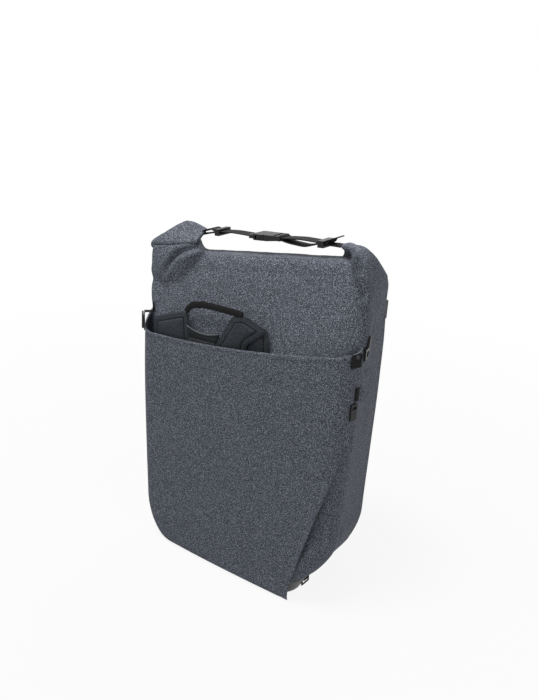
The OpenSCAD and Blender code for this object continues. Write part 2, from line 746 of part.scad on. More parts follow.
module lower_rail_screws() {
    color(steel) for (x = lower_screw_x) translate([x, face_y, lower_h]) difference() {
        screw_y(screw_r, lower_t + back_t + wall + board_t + 3 * gap, 4, 1.8);
        translate([0, 0.8, 0]) rotate([-90, 0, 0]) cylinder(r = 1.6, h = 2, $fn = 6);
    }
}

// Slider in the rail with the spigot that the hook turns on
module lower_carriage() {
    color(black) translate([0, rail_y + 1 + gap, lower_h]) {
        translate([-9, 0, -tee_w / 2 + gap]) cube([18, tee_t - 2 * gap, tee_w - 2 * gap]);
        translate([-7, 0, -neck_w / 2 + gap]) cube([14, lower_t - 1, neck_w - 2 * gap]);
        translate([0, lower_t - 1, 0]) difference() {
            union() {
                rod_y(12, 2);
                rod_y(spigot_r, 7);
            }
            rod_y(1.6, 12);
        }
    }
}

lower_hook_y = face_y + gap + 2 + gap;

module lower_hook() {
    stand = 17.4;
    color(black) translate([0, lower_hook_y, lower_h]) difference() {
        union() {
            rod_y(11, 4);
            translate([6, 0, -8]) cube([5, stand + 4, 16]);
            translate([-20, stand, 0]) rotate([-90, 0, 0]) linear_extrude(4) {
                translate([0, -8]) square([31, 16]);
                circle(8, $fn = 48);
            }
        }
        translate([0, -1, 0]) rod_y(spigot_r + 0.08, 6);
        translate([0, stand - 1, 0]) rod_y(5.2, 6);
    }
}

module lower_hook_screw() {
    color(steel) translate([0, lower_hook_y + 5, lower_h]) difference() {
        screw_y(1.55, 7, 4.6, 2);
        translate([0, 1, 0]) rotate([-90, 0, 0]) cylinder(r = 1.5, h = 2, $fn = 6);
    }
}

// ---------- Strap over the roll ----------

strap_y = tip_y + tip_w / 2;
function over(x, dz = 0) = [x, strap_z(x) + dz];

socket_x = -26;
plug_x = -2;
plug_end = 24;
glide_x = -80;
adjust_x = 86;
case_w = web_w + 6.5;
case_t = 8;

// Piece whose X axis runs along the strap, from x on it
module on_strap(x) {
    translate([x, strap_y, strap_z(x)]) rotate([0, -atan(strap_slope), 0]) children();
}

module strap_left() {
    color(black) {
        webbing_xz([over(-tip_x + gap, 1.5), over(-94, 3.2), over(glide_x - 6, 1.2), over(glide_x + 8, 0.9),
            over(-58, 1.4), over(socket_x - gap, 0)], strap_y);
        webbing_xz([over(-tip_x + gap, -1.8), over(-98, -3), over(glide_x - 6, -1), over(glide_x + 7, -0.9)], strap_y);
    }
}

// Frame that both layers of webbing pass through
module glide(len) {
    h = 2 * web_t + 1.6 + 4;
    difference() {
        translate([-len / 2, -case_w / 2, -h / 2]) cube([len, case_w, h]);
        translate([-len / 2 - 1, -web_w / 2 - gap, -h / 2 + 1.6]) cube([len + 2, web_w + 2 * gap, h - 3.2]);
    }
}

module tri_glide() {
    color(black) on_strap(glide_x) glide(7);
}

// Female half: a flat case with open flanks that the prongs' buttons show in
module buckle_socket() {
    len = plug_x - socket_x - gap;
    color(black) on_strap(socket_x) difference() {
        union() {
            translate([len / 2 + 3, 0, -case_t / 2]) rounded_box([len - 6, case_w, case_t], 3);
            translate([0, -case_w / 2 + 1, -2.4]) cube([8, case_w - 2, 4.8]);
        }
        translate([7, -case_w / 2 + 3, -case_t / 2 + 1.6]) cube([len, case_w - 6, case_t - 3.2]);
        translate([10, -case_w, -case_t / 2 + 1.6]) cube([9.5, 2 * case_w, case_t - 3.2]);
        translate([3, -web_w / 2 - gap, -4]) cube([2.2, web_w + 2 * gap, 8]);
    }
}

prong_t = 3;

// Male half: a bar end that stands out of the socket, and a tongue that guides it
module buckle_plug() {
    len = plug_end - plug_x;
    color(black) on_strap(plug_x) difference() {
        union() {
            hull() {
                translate([0, -case_w / 2 + 0.5, -case_t / 2]) cube([4, case_w - 1, case_t]);
                translate([len - 14, -case_w / 2 + 1, -case_t / 2 + 2]) cube([12, case_w - 2, case_t - 2]);
            }
            translate([len - 6, -case_w / 2 + 1, -2.4]) cube([6, case_w - 2, 4.8]);
            translate([-14, -2.5, -1.5]) cube([15, 5, 3]);
        }
        translate([len - 13, -web_w / 2 - gap, -2.6]) cube([4.5, web_w + 2 * gap, 12]);
        translate([len - 5, -web_w / 2 - gap, -4]) cube([2.2, web_w + 2 * gap, 8]);
    }
}

// Sprung prong; side -1 is the front one. It bends at its root in the plug
module prong(side) {
    y = side * (case_w / 2 - 3 - prong_t - 1.2);
    on_strap(plug_x) mirror([0, side < 0 ? 1 : 0, 0]) translate([0, case_w / 2 - 4.2 - prong_t, -2.3]) {
        translate([-15.5, 0, 0]) cube([15.2, prong_t, 4.6]);
        translate([-13, prong_t - 0.1, 0]) linear_extrude(4.6) polygon([[0, 0], [1, 3.4], [7, 3.4], [7.5, 0]]);
    }
}

module prong_front() {
    color(black) prong(-1);
}

module prong_rear() {
    color(black) prong(1);
}

// It sags between the buckle and the adjuster, under the doubled webbing
module strap_right() {
    color(black) webbing_xz([over(plug_end + gap, -1.6), over(46, -5), over(60, -5.8), over(72, -3),
        over(adjust_x - 6, -1), over(adjust_x + 6, -1), over(tip_x - gap, -0.5)], strap_y);
}

module strap_adjuster() {
    color(black) on_strap(adjust_x) glide(9);
}

// Webbing doubled back from the buckle through the adjuster, with its loose end
module strap_tail() {
    color(black) webbing_xz([over(plug_end + gap, 1), over(54, 2.4), over(adjust_x - 6, 1.2), over(adjust_x + 7, 1.2),
        over(adjust_x + 11, 6), over(adjust_x + 20, 9.5)], strap_y);
}

// ---------- Hooks of the front cover ----------

// Frame on the right side of the bag, off by so much: X outwards, Y to the back, Z up
module on_side(y, z, off) {
    translate([front_hw + swell(z) - (y - bag_front - edge_r) * side_slope, y, z])
        rotate([0, 0, side_turn]) translate([off, 0, 0]) children();
}

// Plate drawn in the YZ plane of that frame, t thick
module side_plate(t) {
    rotate([90, 0, 90]) linear_extrude(t) children();
}

// Frame on a rounded upright corner of the cover, turned from its front: -Y outwards
module on_corner(side, z, off, turn = 45) {
    mirror([side < 0 ? 1 : 0, 0, 0]) translate([cover_hw(z, side) - edge_r, cover_y(z) + edge_r, z])
        rotate([0, 0, turn]) translate([0, -edge_r - cover_t - off, 0]) children();
}

tab_t = 1.4;
upper_turn = 70;
upper_z = cover_h - 13;
lower_hook_z = slant_h - 7;
side_off = tab_t + 2 * gap;

module cover_tab_upper() {
    color(black) on_corner(1, upper_z, gap, upper_turn) translate([-8, -tab_t, -9]) cube([16, tab_t, 18]);
}

module cover_rivet() {
    color(steel) on_corner(1, upper_z, gap, upper_turn)
        translate([1, -tab_t - 1.3, 5]) rotate([-90, 0, 0]) cylinder(r1 = 2.2, r2 = 3, h = 1.2, $fn = 32);
}

// Its neck lies on the tab and its open crook reaches back to the loop on the bag
module cover_hook_upper() {
    color(black) on_side(bag_front + edge_r, upper_z + 2, side_off) side_plate(2.6) difference() {
        polygon([[-2, -8], [12, -8], [15, 4], [19, 18], [15, 20], [11, 7], [-2, 7]]);
        polygon([[3, -5], [10.4, -5], [12, 2], [3, 3]]);
    }
}

module bag_loop_upper() {
    color(black) on_side(bag_front + edge_r + 16, upper_z + 6, gap) side_plate(tab_t)
        polygon([[-4, -14], [4, -14], [8, 12], [0, 14]]);
}

module cover_strap_lower() {
    color(black) on_corner(1, lower_hook_z + 24, gap, upper_turn + 14) translate([-3, -web_t, -9]) cube([7, web_t, 18]);
}

module cover_hook_lower() {
    color(black) on_corner(1, lower_hook_z, gap, upper_turn + 6) translate([-5, -2.2, -10]) difference() {
        cube([10, 2.2, 22]);
        translate([1.5, -1, 15]) cube([7, 4, 4]);
    }
}

left_z = cover_h - hem_drop + corner_lift - 16;

module cover_tab_left() {
    color(black) on_corner(-1, left_z, gap) translate([-8, -tab_t, -9]) cube([16, tab_t, 18]);
}

module cover_hook_left() {
    color(black) on_corner(-1, left_z, gap) translate([-6, -tab_t - gap - 2.7, -6]) difference() {
        cube([12, 2.7, 22]);
        translate([2.5, -1, 13]) cube([7, 5, 6]);
    }
}

// Tongue sewn to the bag that bends over the cover's upper edge, down behind the left hook
module bag_loop_left() {
    color(black) on_corner(-1, left_z + 16, 0) translate([-4, 0, 0]) rotate([90, 0, 90]) linear_extrude(8)
        polygon([[11.8, 1], [-gap, 1], [-gap, -5], [-tab_t, -5], [-tab_t, 2.4], [10.4, 2.4], [10.4, 14], [11.8, 14]]);
}

// ---------- Rings at the base ----------

ring_z = 13;
ring_y = foot_front + edge_r + 20;
ring_side = front_hw - 20 * side_slope - side_in(ring_z + 5);
ring_x = ring_side + 6;
ring_bar_r = 1.2;

// Webbing tabs sewn to the base, each folded round the bar of a ring
module base_tabs() {
    color(black) for (side = [-1, 1]) mirror([side < 0 ? 1 : 0, 0, 0]) translate([ring_x, ring_y, ring_z]) difference() {
        union() {
            rotate([-90, 0, 0]) cylinder(r = ring_bar_r + 1.6, h = 10, center = true, $fn = 32);
            translate([ring_side - ring_x + 0.8, -5, 0.5]) cube([ring_x - ring_side - 0.8, 10, 1.5]);
        }
        rotate([-90, 0, 0]) cylinder(r = ring_bar_r + 0.3, h = 14, center = true, $fn = 32);
    }
}

// D-shaped ring hanging from its bar
module base_ring() {
    w = 16;
    drop = 8;
    rotate([-90, 0, 0]) cylinder(r = ring_bar_r, h = w, center = true, $fn = 24);
    for (e = [-1, 1]) translate([0, e * w / 2, -drop / 2]) cylinder(r = ring_bar_r, h = drop, center = true, $fn = 24);
    translate([0, 0, -drop]) rotate([-90, 0, 0]) cylinder(r = ring_bar_r, h = w, center = true, $fn = 24);
    for (e = [-1, 1], z = [0, -drop]) translate([0, e * w / 2, z]) sphere(ring_bar_r, $fn = 24);
}

module base_ring_left() {
    color(black) translate([-ring_x, ring_y, ring_z]) base_ring();
}

module base_ring_right() {
    color(black) translate([ring_x, ring_y, ring_z]) base_ring();
}

body_shell();
base_panel();
roll_top();
roll_stiffener();
inner_board();
base_board();
inner_sleeve();
back_panel();
front_cover();
hook_rail();
hook_nuts();
rail_end_caps();
rail_screws();
rack_hook_left();
rack_hook_right();
hook_screws();
claw_left();
claw_right();
claw_springs();
handle_webbing();
handle_grip();
handle_links();
lower_rail();
lower_rail_screws();
lower_carriage();
lower_hook();
lower_hook_screw();
strap_left();
tri_glide();
buckle_socket();
buckle_plug();
prong_front();
prong_rear();
strap_right();
strap_adjuster();
strap_tail();
cover_tab_upper();
cover_hook_upper();
cover_rivet();
bag_loop_upper();
cover_strap_lower();
cover_hook_lower();
cover_tab_left();
cover_hook_left();
bag_loop_left();
harness_yoke();
harness_pad_left();
harness_pad_right();
harness_mesh();
harness_handle();
base_tabs();
base_ring_left();
base_ring_right();
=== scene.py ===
"""Looks of the roll-top pannier: fabric skin, front cover, harness, webbing and materials.

Lengths below are millimetres in the frame's axes (+X to the rear of the bicycle, +Y to the rack,
+Z up); build() turns them into metres.
"""
import json
import math

import bmesh
import bpy
import numpy as np
from mathutils import Matrix, Vector, noise
from mathutils.geometry import delaunay_2d_cdt

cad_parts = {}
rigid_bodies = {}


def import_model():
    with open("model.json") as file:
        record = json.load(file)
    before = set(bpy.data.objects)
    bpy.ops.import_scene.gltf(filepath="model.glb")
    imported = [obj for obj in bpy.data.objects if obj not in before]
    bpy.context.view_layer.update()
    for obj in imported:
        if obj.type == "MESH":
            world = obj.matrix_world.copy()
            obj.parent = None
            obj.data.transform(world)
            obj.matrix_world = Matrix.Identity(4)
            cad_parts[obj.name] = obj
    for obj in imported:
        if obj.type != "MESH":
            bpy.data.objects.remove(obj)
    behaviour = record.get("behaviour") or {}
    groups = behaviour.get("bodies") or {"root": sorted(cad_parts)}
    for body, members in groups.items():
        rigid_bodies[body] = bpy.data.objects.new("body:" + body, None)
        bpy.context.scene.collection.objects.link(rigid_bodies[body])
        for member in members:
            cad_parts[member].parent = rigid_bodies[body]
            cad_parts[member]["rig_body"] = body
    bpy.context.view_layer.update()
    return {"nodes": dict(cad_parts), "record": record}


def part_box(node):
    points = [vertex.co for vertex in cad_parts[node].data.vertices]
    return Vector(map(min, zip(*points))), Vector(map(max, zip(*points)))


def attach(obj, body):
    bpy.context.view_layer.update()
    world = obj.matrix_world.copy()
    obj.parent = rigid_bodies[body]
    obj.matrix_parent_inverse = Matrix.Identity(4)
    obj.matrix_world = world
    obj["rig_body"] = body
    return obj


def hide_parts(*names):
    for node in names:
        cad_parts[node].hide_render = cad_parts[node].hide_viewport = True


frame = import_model()
nodes = frame["nodes"]
MM = 0.001


# ---------- Sizes, as in the part's source ----------

front_w = 322
back_w = 264
belly = 9
body_d = 175
crest_h = 452
back_h = crest_h - 48
corner_w = 80
corner_h = 90
edge_r = 26
crest_slope = 0.09
crest_yaw = 0.05
base_h = 26
roll_d = 60
roll_t = 20
roll_shift = -5
crest_back = 31
pocket_gap = 16
cover_h = crest_h - 66
hem_drop = 57
corner_lift = 25
hem_curve = 1.7
cover_foot = 113
slant_h = crest_h - 142
cover_t = 2.4
pad_t = 7
back_t = 3.5
web_w = 20
web_t = 1.6
tip_w = web_w + 2
strap_rise = 34
strap_slope = 0.1

gap = 0.3
front_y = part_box("front_cover")[0].y / MM
back_y = front_y + body_d
front_hw = front_w / 2
back_hw = back_w / 2
bag_front = front_y + pocket_gap
crest_front = front_y + crest_back
crest_rear = crest_front + roll_d
roll_floor = crest_h - roll_t
cover_bottom = 3
bag_crown = 1.5
cover_crown = 2.5
foot_front = front_y + cover_crown + cover_t + 0.5
back_r = 18
side_slope = (front_hw - back_hw) / (back_y - back_r - bag_front - edge_r)
cover_in = 0.75
side_lap = 7
plate_y = back_y + gap
pad_y = bag_front - bag_crown - gap - pad_t
pad_foot = 200
pad_top = cover_h - 20
strap_y = crest_front + 0.75 * (roll_d - tip_w) + tip_w / 2

# What the filled bag adds to the solids
crest_lift = 10  # rise of the crest at mid-width
crest_tilt = 0.073  # more of that rise per unit of width
crown_w = 12  # width of the rounded crown
crown_rise = 34  # and its height
front_lean_z = 345  # height where the front starts to lean
front_lean_back = 13  # setback of its top from the crest's front
left_shift = 4
flap_half = 3.4  # half thickness of the roll's left end
hem_width = 9
pad_low = pad_foot - 7
pad_border = 8.0
pad_roll = 14  # width over which a pad's middle rises


def smooth(z, a, b):
    """0 at a, 1 at b, with level ends."""
    k = min(1.0, max(0.0, (z - a) / (b - a)))
    return k * k * (3 - 2 * k)


def mix(a, b, k):
    return a + (b - a) * k


def squared(v, p):
    """v, from -1 to 1, raised to p with its sign kept: p under 1 makes a round form squarer."""
    return math.copysign(abs(v) ** p, v)


def turns(n):
    """n angles round a circle."""
    return np.linspace(0, 2 * math.pi, n, endpoint=False)


def spaced(a, b, step):
    """Numbers from a to b, about step apart."""
    return np.linspace(a, b, max(2, round(abs(b - a) / step) + 1))


# ---------- Meshes ----------

def placed(name, data):
    """New object in the scene that shows a mesh, a camera or a light."""
    obj = bpy.data.objects.new(name, data)
    bpy.context.scene.collection.objects.link(obj)
    return obj


def build(name, points, faces, body="bag"):
    """Mesh object from points in millimetres, riding on a body."""
    mesh = bpy.data.meshes.new(name)
    mesh.from_pydata([tuple(float(c) * MM for c in p) for p in points], [], [tuple(f) for f in faces])
    mesh.validate()
    form = bmesh.new()
    form.from_mesh(mesh)
    bmesh.ops.recalc_face_normals(form, faces=form.faces)
    form.to_mesh(mesh)
    form.free()
    mesh.shade_smooth()
    obj = placed(name, mesh)
    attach(obj, body)
    return obj


def loft(rings, caps=True):
    """Points and faces through closed rings of as many points each."""
    n = len(rings[0])
    points = [p for ring in rings for p in ring]
    faces = [
        (j * n + i, j * n + (i + 1) % n, (j + 1) * n + (i + 1) % n, (j + 1) * n + i)
        for j in range(len(rings) - 1)
        for i in range(n)
    ]
    if caps:
        faces.append(list(range(n))[::-1])
        faces.append([(len(rings) - 1) * n + i for i in range(n)])
    return points, faces


def joined(*parts):
    """Several (points, faces) as one."""
    points, faces = [], []
    for p, f in parts:
        start = len(points)
        points += list(p)
        faces += [[i + start for i in face] for face in f]
    return points, faces


def filleted(points, r):
    """Closed outline in XZ, counter-clockwise, with its corners rounded."""
    steps = np.linspace(0, 1, 6)
    out = []
    for i, b in enumerate(points):
        a, b, c = (np.array(p, float) for p in (points[i - 1], b, points[(i + 1) % len(points)]))
        p = b + (a - b) / np.linalg.norm(a - b) * r
        q = b + (c - b) / np.linalg.norm(c - b) * r
        out += [(1 - k) ** 2 * p + 2 * k * (1 - k) * b + k * k * q for k in steps]
    out = np.array(out)
    after = np.roll(out, -1, axis=0)
    area = (out[:, 0] * after[:, 1] - out[:, 1] * after[:, 0]).sum()
    return out if area > 0 else out[::-1]


def evenly(path, step, closed=True):
    """The path's points again, about step apart."""
    path = np.array(path, float)
    if closed:
        path = np.vstack([path, path[:1]])
    far = np.concatenate([[0], np.cumsum(np.linalg.norm(np.diff(path, axis=0), axis=1))])
    at = np.linspace(0, far[-1], max(4, round(far[-1] / step)) + (0 if closed else 1), endpoint=not closed)
    return np.stack([np.interp(at, far, column) for column in path.T], axis=1)


def smoothed(points, n):
    """Smooth open path of n points through the given ones."""
    p = np.array(points, float)
    out = []
    for t in np.linspace(0, len(p) - 1, n):
        i = min(int(t), len(p) - 2)
        k = t - i
        a, b, c, d = (p[max(0, min(len(p) - 1, i + s))] for s in (-1, 0, 1, 2))
        out.append(b + 0.5 * k * (c - a + k * (2 * a - 5 * b + 4 * c - d + k * (3 * (b - c) + d - a))))
    return np.array(out)


def swept(path, section):
    """Form of a section carried along a path: its u lies along Y, its v square to u and the path."""
    path = np.array(path, float)
    before, after = np.roll(path, 1, axis=0), np.roll(path, -1, axis=0)
    before[0], after[-1] = path[0], path[-1]
    tangent = after - before
    tangent /= np.linalg.norm(tangent, axis=1)[:, None]
    side = np.array([0.0, 1.0, 0.0]) - tangent * tangent[:, 1:2]
    side /= np.linalg.norm(side, axis=1)[:, None]
    up = np.cross(tangent, side)
    return loft([[p + s * u + w * v for u, v in section] for p, s, w in zip(path, side, up)])


def oval(w, h, n, p=1.0):
    """Section w wide and h high: an ellipse at p = 1 and squarer below it."""
    return [(w / 2 * squared(math.cos(t), p), h / 2 * squared(math.sin(t), p)) for t in turns(n)]


def ribbon_section(w, t):
    """Woven tape with rounded edges."""
    r = t / 2
    half = w / 2 - r
    ends = [(half + r * math.cos(a), r * math.sin(a)) for a in np.linspace(-math.pi / 2, math.pi / 2, 7)]
    top = [(x, r) for x in np.linspace(half, -half, 10)[1:-1]]
    return ends + top + [(-x, -z) for x, z in ends] + [(-x, -z) for x, z in top]


def stitches(path, out, pitch=3.6, length=2.5, r=0.32):
    """Row of sewn threads along a path, raised a little along out."""
    path = evenly(path, pitch, closed=False)
    out = np.array(out, float)
    parts = []
    for a, b in zip(path[:-1], path[1:]):
        d = (b - a) / np.linalg.norm(b - a)
        mid = (a + b) / 2 + out * r * 0.2
        line = [mid + d * length * s - out * abs(s) * r for s in (-0.5, -0.4, 0, 0.4, 0.5)]
        side = np.cross(d, out)
        widths = (r * 0.3, r, r, r, r * 0.3)
        rings = [[p + side * w * math.cos(t) * 1.2 + out * w * math.sin(t) for t in turns(6)]
                 for p, w in zip(line, widths)]
        parts.append(loft(rings))
    return joined(*parts)


def edge_distance(points, outline):
    """How far each point lies from a closed outline."""
    a = outline[None]
    d = np.roll(outline, -1, axis=0)[None] - a
    rel = points[:, None] - a
    t = np.clip((rel * d).sum(axis=2) / (d * d).sum(axis=2), 0, 1)
    return np.linalg.norm(rel - d * t[..., None], axis=2).min(axis=1)


def inside(points, outline):
    """Which of the points lie inside a closed outline."""
    x, z = points[:, :1], points[:, 1:]
    (ax, az), (bx, bz) = outline.T, np.roll(outline, -1, axis=0).T
    crossed = ((az > z) != (bz > z)) & (x < (bx - ax) * (z - az) / np.where(bz == az, 1, bz - az) + ax)
    return crossed.sum(axis=1) % 2 == 1


def panel_form(outline, step, front, back):
    """Closed form over an outline in XZ; front and back give y from a point and its edge distance."""
    rim = evenly(outline, step)
    low, high = rim.min(axis=0), rim.max(axis=0)
    grid = np.array([
        (x + j % 2 * step / 2, z)
        for j, z in enumerate(np.arange(low[1], high[1], step * 0.87))
        for x in np.arange(low[0], high[0], step)
    ])
    grid = grid[inside(grid, rim)]
    grid = grid[edge_distance(grid, rim) > 0.55 * step]
    flat = [Vector(p) for p in (*rim, *grid)]
    spots, _, triangles, *_ = delaunay_2d_cdt(flat, [], [list(range(len(rim)))], 1, 1e-5)
    spots = np.array([tuple(v) for v in spots])
    far = edge_distance(spots, rim)
    n = len(spots)
    points = [(x, y, z) for y_at in (front, back) for (x, z), y in zip(spots, y_at(spots, far))]
    faces = [tuple(t) for t in triangles] + [tuple(i + n for i in t[::-1]) for t in triangles]
    sides = {(t[i], t[(i + 1) % 3]) for t in triangles for i in range(3)}
    faces += [(i, j, j + n, i + n) for i, j in sides if (j, i) not in sides]
    return points, faces


def apply_modifier(obj, kind, **values):
    """Adds a modifier and bakes it into the mesh."""
    modifier = obj.modifiers.new(kind.title(), kind)
    for key, value in values.items():
        setattr(modifier, key, value)
    graph = bpy.context.evaluated_depsgraph_get()
    graph.update()
    mesh = bpy.data.meshes.new_from_object(obj.evaluated_get(graph), depsgraph=graph)
    old = obj.data
    obj.modifiers.clear()
    obj.data = mesh
    bpy.data.meshes.remove(old)
    mesh.shade_smooth()


def surface(obj):
    """The mesh's points in millimetres, and its normals there, as arrays."""
    found = []
    for kind in ("co", "normal"):
        values = np.zeros(len(obj.data.vertices) * 3)
        obj.data.vertices.foreach_get(kind, values)
        found.append(values.reshape(-1, 3))
    return found[0] / MM, found[1]


def set_coordinates(obj, co):
    obj.data.vertices.foreach_set("co", (co * MM).ravel())
    obj.data.update()


def field(points, scale, seed):
    """Smooth noise at the points, about -1 to 1; scale is the size of a bump in millimetres."""
    off = Vector((seed * 17.3, seed * 5.1, seed * 9.7))
    return np.array([noise.noise(Vector(p) / scale + off) for p in points])


# ---------- The bag's form ----------

def round_in(z, w, h, p=2.0):
    """Inset of a rounded lower edge, w wide and h high."""
    return w - w * (1 - ((h - z) / h) ** p) ** (1 / p) if z < h else 0


def side_in(z):
    """Inset of the sides at a height: the filled bag bulges out over its base."""
    full = round_in(max(z, base_h), corner_w, corner_h, 1.35)
    return full + max(0, base_h - z) * 0.5


def rear_in(z):
    """Inset of the rear half's sides at a height."""
    return round_in(z, 40, 80, 1.5)


def top_share(z):
    """How far the slope, turn and shift of the crest are in force at a height."""
    return smooth(z, cover_h - 40, roll_floor)


def swell(z):
    """How far the filled bag's sides stand out at a height."""
    return belly * (smooth(z, 30, 300) - 0.7 * smooth(z, back_h - 9, roll_floor))


def left_edge_at(z):
    """Radius of the front left edge, drawn sharp above the cover by the roll's turned end."""
    return mix(edge_r, 12, smooth(z, cover_h - 55, cover_h))


def right_edge_at(z):
    """Radius of the front right edge, a little sharper near the crest."""
    return mix(edge_r, 15, smooth(z, cover_h + 15, roll_floor))


def bag_front_at(z):
    """The bag's front at a height: drawn out to the cover's foot, and leaning back near the crest."""
    low = mix(foot_front, bag_front, smooth(z, 50, 190))
    lean = max(0.0, min(1.0, (z - front_lean_z) / (roll_floor + 10 - front_lean_z)))
    return mix(low, crest_front + front_lean_back, lean) + round_in(z, 10, 10)


def bag_back_at(z):
    return mix(back_y, crest_rear, smooth(z, back_h + 2, roll_floor + 4)) - round_in(z, 10, 10)


def arc(cx, cy, r, a, b, n):
    """Points on a quarter of a circle, angles in degrees."""
    return [
        (cx + r * math.cos(math.radians(t)), cy + r * math.sin(math.radians(t)))
        for t in np.linspace(a, b, n)
    ]


def run(p, q, n):
    """Points between two ends, both left out."""
    return [(mix(p[0], q[0], k), mix(p[1], q[1], k)) for k in np.linspace(0, 1, n + 2)[1:-1]]


def bag_ring(z, grow=0.0, inset=0.0, level=None):
    """Plan of the bag at a height, counter-clockwise from its front left corner.

    grow widens it, inset narrows it for the crest's crown, and level sets its own height.
    """
    fhw = front_hw + swell(z) + grow - side_in(z) - inset
    bhw = back_hw + swell(z) / 2 + grow - rear_in(z) - inset
    y0 = bag_front_at(z) - grow + inset
    y1 = bag_back_at(z) + grow - inset
    rb = min(back_r + grow, (y1 - y0) / 2.1)
    rl = min(left_edge_at(z) + grow, (y1 - y0) / 2.1)
    rr = min(right_edge_at(z) + grow, (y1 - y0) / 2.1)
    k = top_share(z)
    rear = bhw - rb
    fl = arc(rl - fhw, y0 + rl, rl, 180, 270, 14)
    front = [(mix(rl - fhw, fhw - rr, (u + 1) / 2), y0 - bag_crown * (1 - u * u))
             for u in np.linspace(-1, 1, 74)[1:-1]]
    fr = arc(fhw - rr, y0 + rr, rr, 270, 360, 14)
    br = arc(rear, y1 - rb, rb, 0, 90, 10)
    bl = arc(-rear, y1 - rb, rb, 90, 180, 10)
    plan = fl + front + fr + run(fr[-1], br[0], 30)
    plan += br + run(br[-1], bl[0], 50) + bl + run(bl[-1], fl[0], 30)
    ring = []
    for x, y in plan:
        fore = max(0.0, min(1.0, (y1 - y) / (y1 - y0)))
        shift = roll_shift - left_shift * smooth(-x, 60, 150)
        height = z if level is None else level
        ring.append((x + shift * k, y + crest_yaw * x * k * fore, height + crest_slope * x * k))
    return ring


def strap_z(x):
    """Height of the closure strap's line."""
    return crest_h + strap_rise + strap_slope * x


def crest_rise(x):
    """How much the filled crest stands above the solid's own, more at its right end."""
    return crest_lift + crest_tilt * x


def sin_cos(degrees):
    return math.sin(math.radians(degrees)), math.cos(math.radians(degrees))


def flap_ring(near, far, turn, half):
    """Cross-section of the flat roll from its near edge, a little thicker, to its far edge."""
    s, c = sin_cos(turn)
    ring = []
    for q in turns(48):
        k = (1 - squared(math.cos(q), 0.5)) / 2
        h = (half + 1.2 * (1 - k)) * squared(math.sin(q), 0.55)
        x, y, z = (mix(a, b, k) for a, b in zip(near, far))
        ring.append((x - s * h, y, z - c * h))
    return ring


# Left end of the roll: the axes that its near and far edges turn over on, and the ends of its tip
TURN_NEAR, TURN_FAR = (-172, -74, 447.5), (-143, -33, 475)
TIP_NEAR, TIP_FAR = (-100, -67, 464), (-110, -33, 475)


def between(a, b, k):
    """Point at a share k of the way from a to b."""
    return tuple(mix(p, q, k) for p, q in zip(a, b))


def round_axis(axis, r, a):
    """Point r from one of the turn's axes: straight below it at 0 degrees, above it at 180."""
    out, up = sin_cos(a)
    return axis[0] - r * out, axis[1], axis[2] - r * up


def left_flap():
    """Left end of the roll, turned over inwards and drawn to the strap."""
    near_r, far_r, start = 3, 5, -120
    rings = []
    for x in np.linspace(start, TURN_FAR[0], 8)[:-1]:
        low = 14 * (1 - smooth(-x, -start, -TURN_FAR[0])) + near_r
        near = (x - 20, TURN_NEAR[1] + 4, TURN_NEAR[2] - low)
        far = (x, TURN_FAR[1], TURN_FAR[2] - low - 3)
        rings.append(flap_ring(near, far, 0, flap_half))
    for a in np.linspace(0, 180, 15):
        near, far = round_axis(TURN_NEAR, near_r, a), round_axis(TURN_FAR, far_r, a)
        rings.append(flap_ring(near, far, a, flap_half))
    upper_near, upper_far = near, far
    for k in np.linspace(0, 1, 26)[1:]:
        sag = 1.6 * math.sin(math.pi * k)
        near, far = between(upper_near, TIP_NEAR, k), between(upper_far, TIP_FAR, k)
        low_near, high_far = (near[0], near[1], near[2] - sag), (far[0], far[1], far[2] + sag)
        rings.append(flap_ring(low_near, high_far, 180, flap_half - 0.6 * k))
    for k, thin in ((0.5, 0.8), (0.85, 0.5), (1.0, 0.12)):
        end_near = (near[0] + 1.6 * k, near[1] + k, near[2])
        end_far = (far[0] + 1.6 * k, far[1] - k, far[2])
        rings.append(flap_ring(end_near, end_far, 180, (flap_half - 0.6) * thin))
    flap = build("roll_end_left", *loft(rings))
    apply_modifier(flap, "SUBSURF", levels=1, render_levels=1)
    co, out = surface(flap)
    set_coordinates(flap, co + out * (0.7 * field(co, 26, 4) + 0.3 * field(co, 9, 6))[:, None])
    wear(flap, FINISHES["coated_fabric"])


def hull(points):
    """Convex form round a set of points."""
    form = bmesh.new()
    for p in points:
        form.verts.new(p)
    bmesh.ops.convex_hull(form, input=form.verts)
    used = [v for v in form.verts if v.link_faces]
    number = {v: i for i, v in enumerate(used)}
    faces = [[number[v] for v in f.verts] for f in form.faces]
    places = [tuple(v.co) for v in used]
    form.free()
    return places, faces


# Corners of the lobes that the filled bag makes at the ends of its crest, and of the lip at its
# right end. Each form is the convex one round its corners.
RIGHT_LOBE = [
    (128, -42, 503), (135, -43, 505), (144, -42, 504.5), (151, -36, 498.5), (153, -28, 491.5),
    (152, -8, 476.5), (149, 12, 463), (144.5, 32, 452), (135, 54, 437), (125, 72, 422),
    (143, -64, 502), (141, -64, 489), (151, -68, 501), (163, -67, 487), (169, -65, 466),
    (171, -61, 441), (120, -20, 470), (112, 50, 430),
]
RIGHT_LIP = [
    (111, -43, 493), (111, -43, 500), (111, -17, 491), (111, -17, 499), (130, -55, 496.5),
    (130, -55, 503.5), (146, -63, 497), (146, -63, 504), (133, -22, 486), (131, -22, 496),
]
RIGHT_FILL = [
    (112, -36, 474), (112, -12, 474), (112, -34, 492), (112, -14, 488), (140, -38, 499),
    (138, -14, 482),
]
LEFT_LOBE = [
    (-175, -74, 447), (-150, -72, 452), (-104, -66, 461), (-97, -63, 460), (-89, -62, 450),
    (-175, -78, 412), (-138, -81, 418), (-116, -79, 434), (-102, -74, 446), (-168, -24, 446),
    (-118, -26, 446), (-164, -9, 452), (-144, -8, 458), (-172, -30, 415),
]

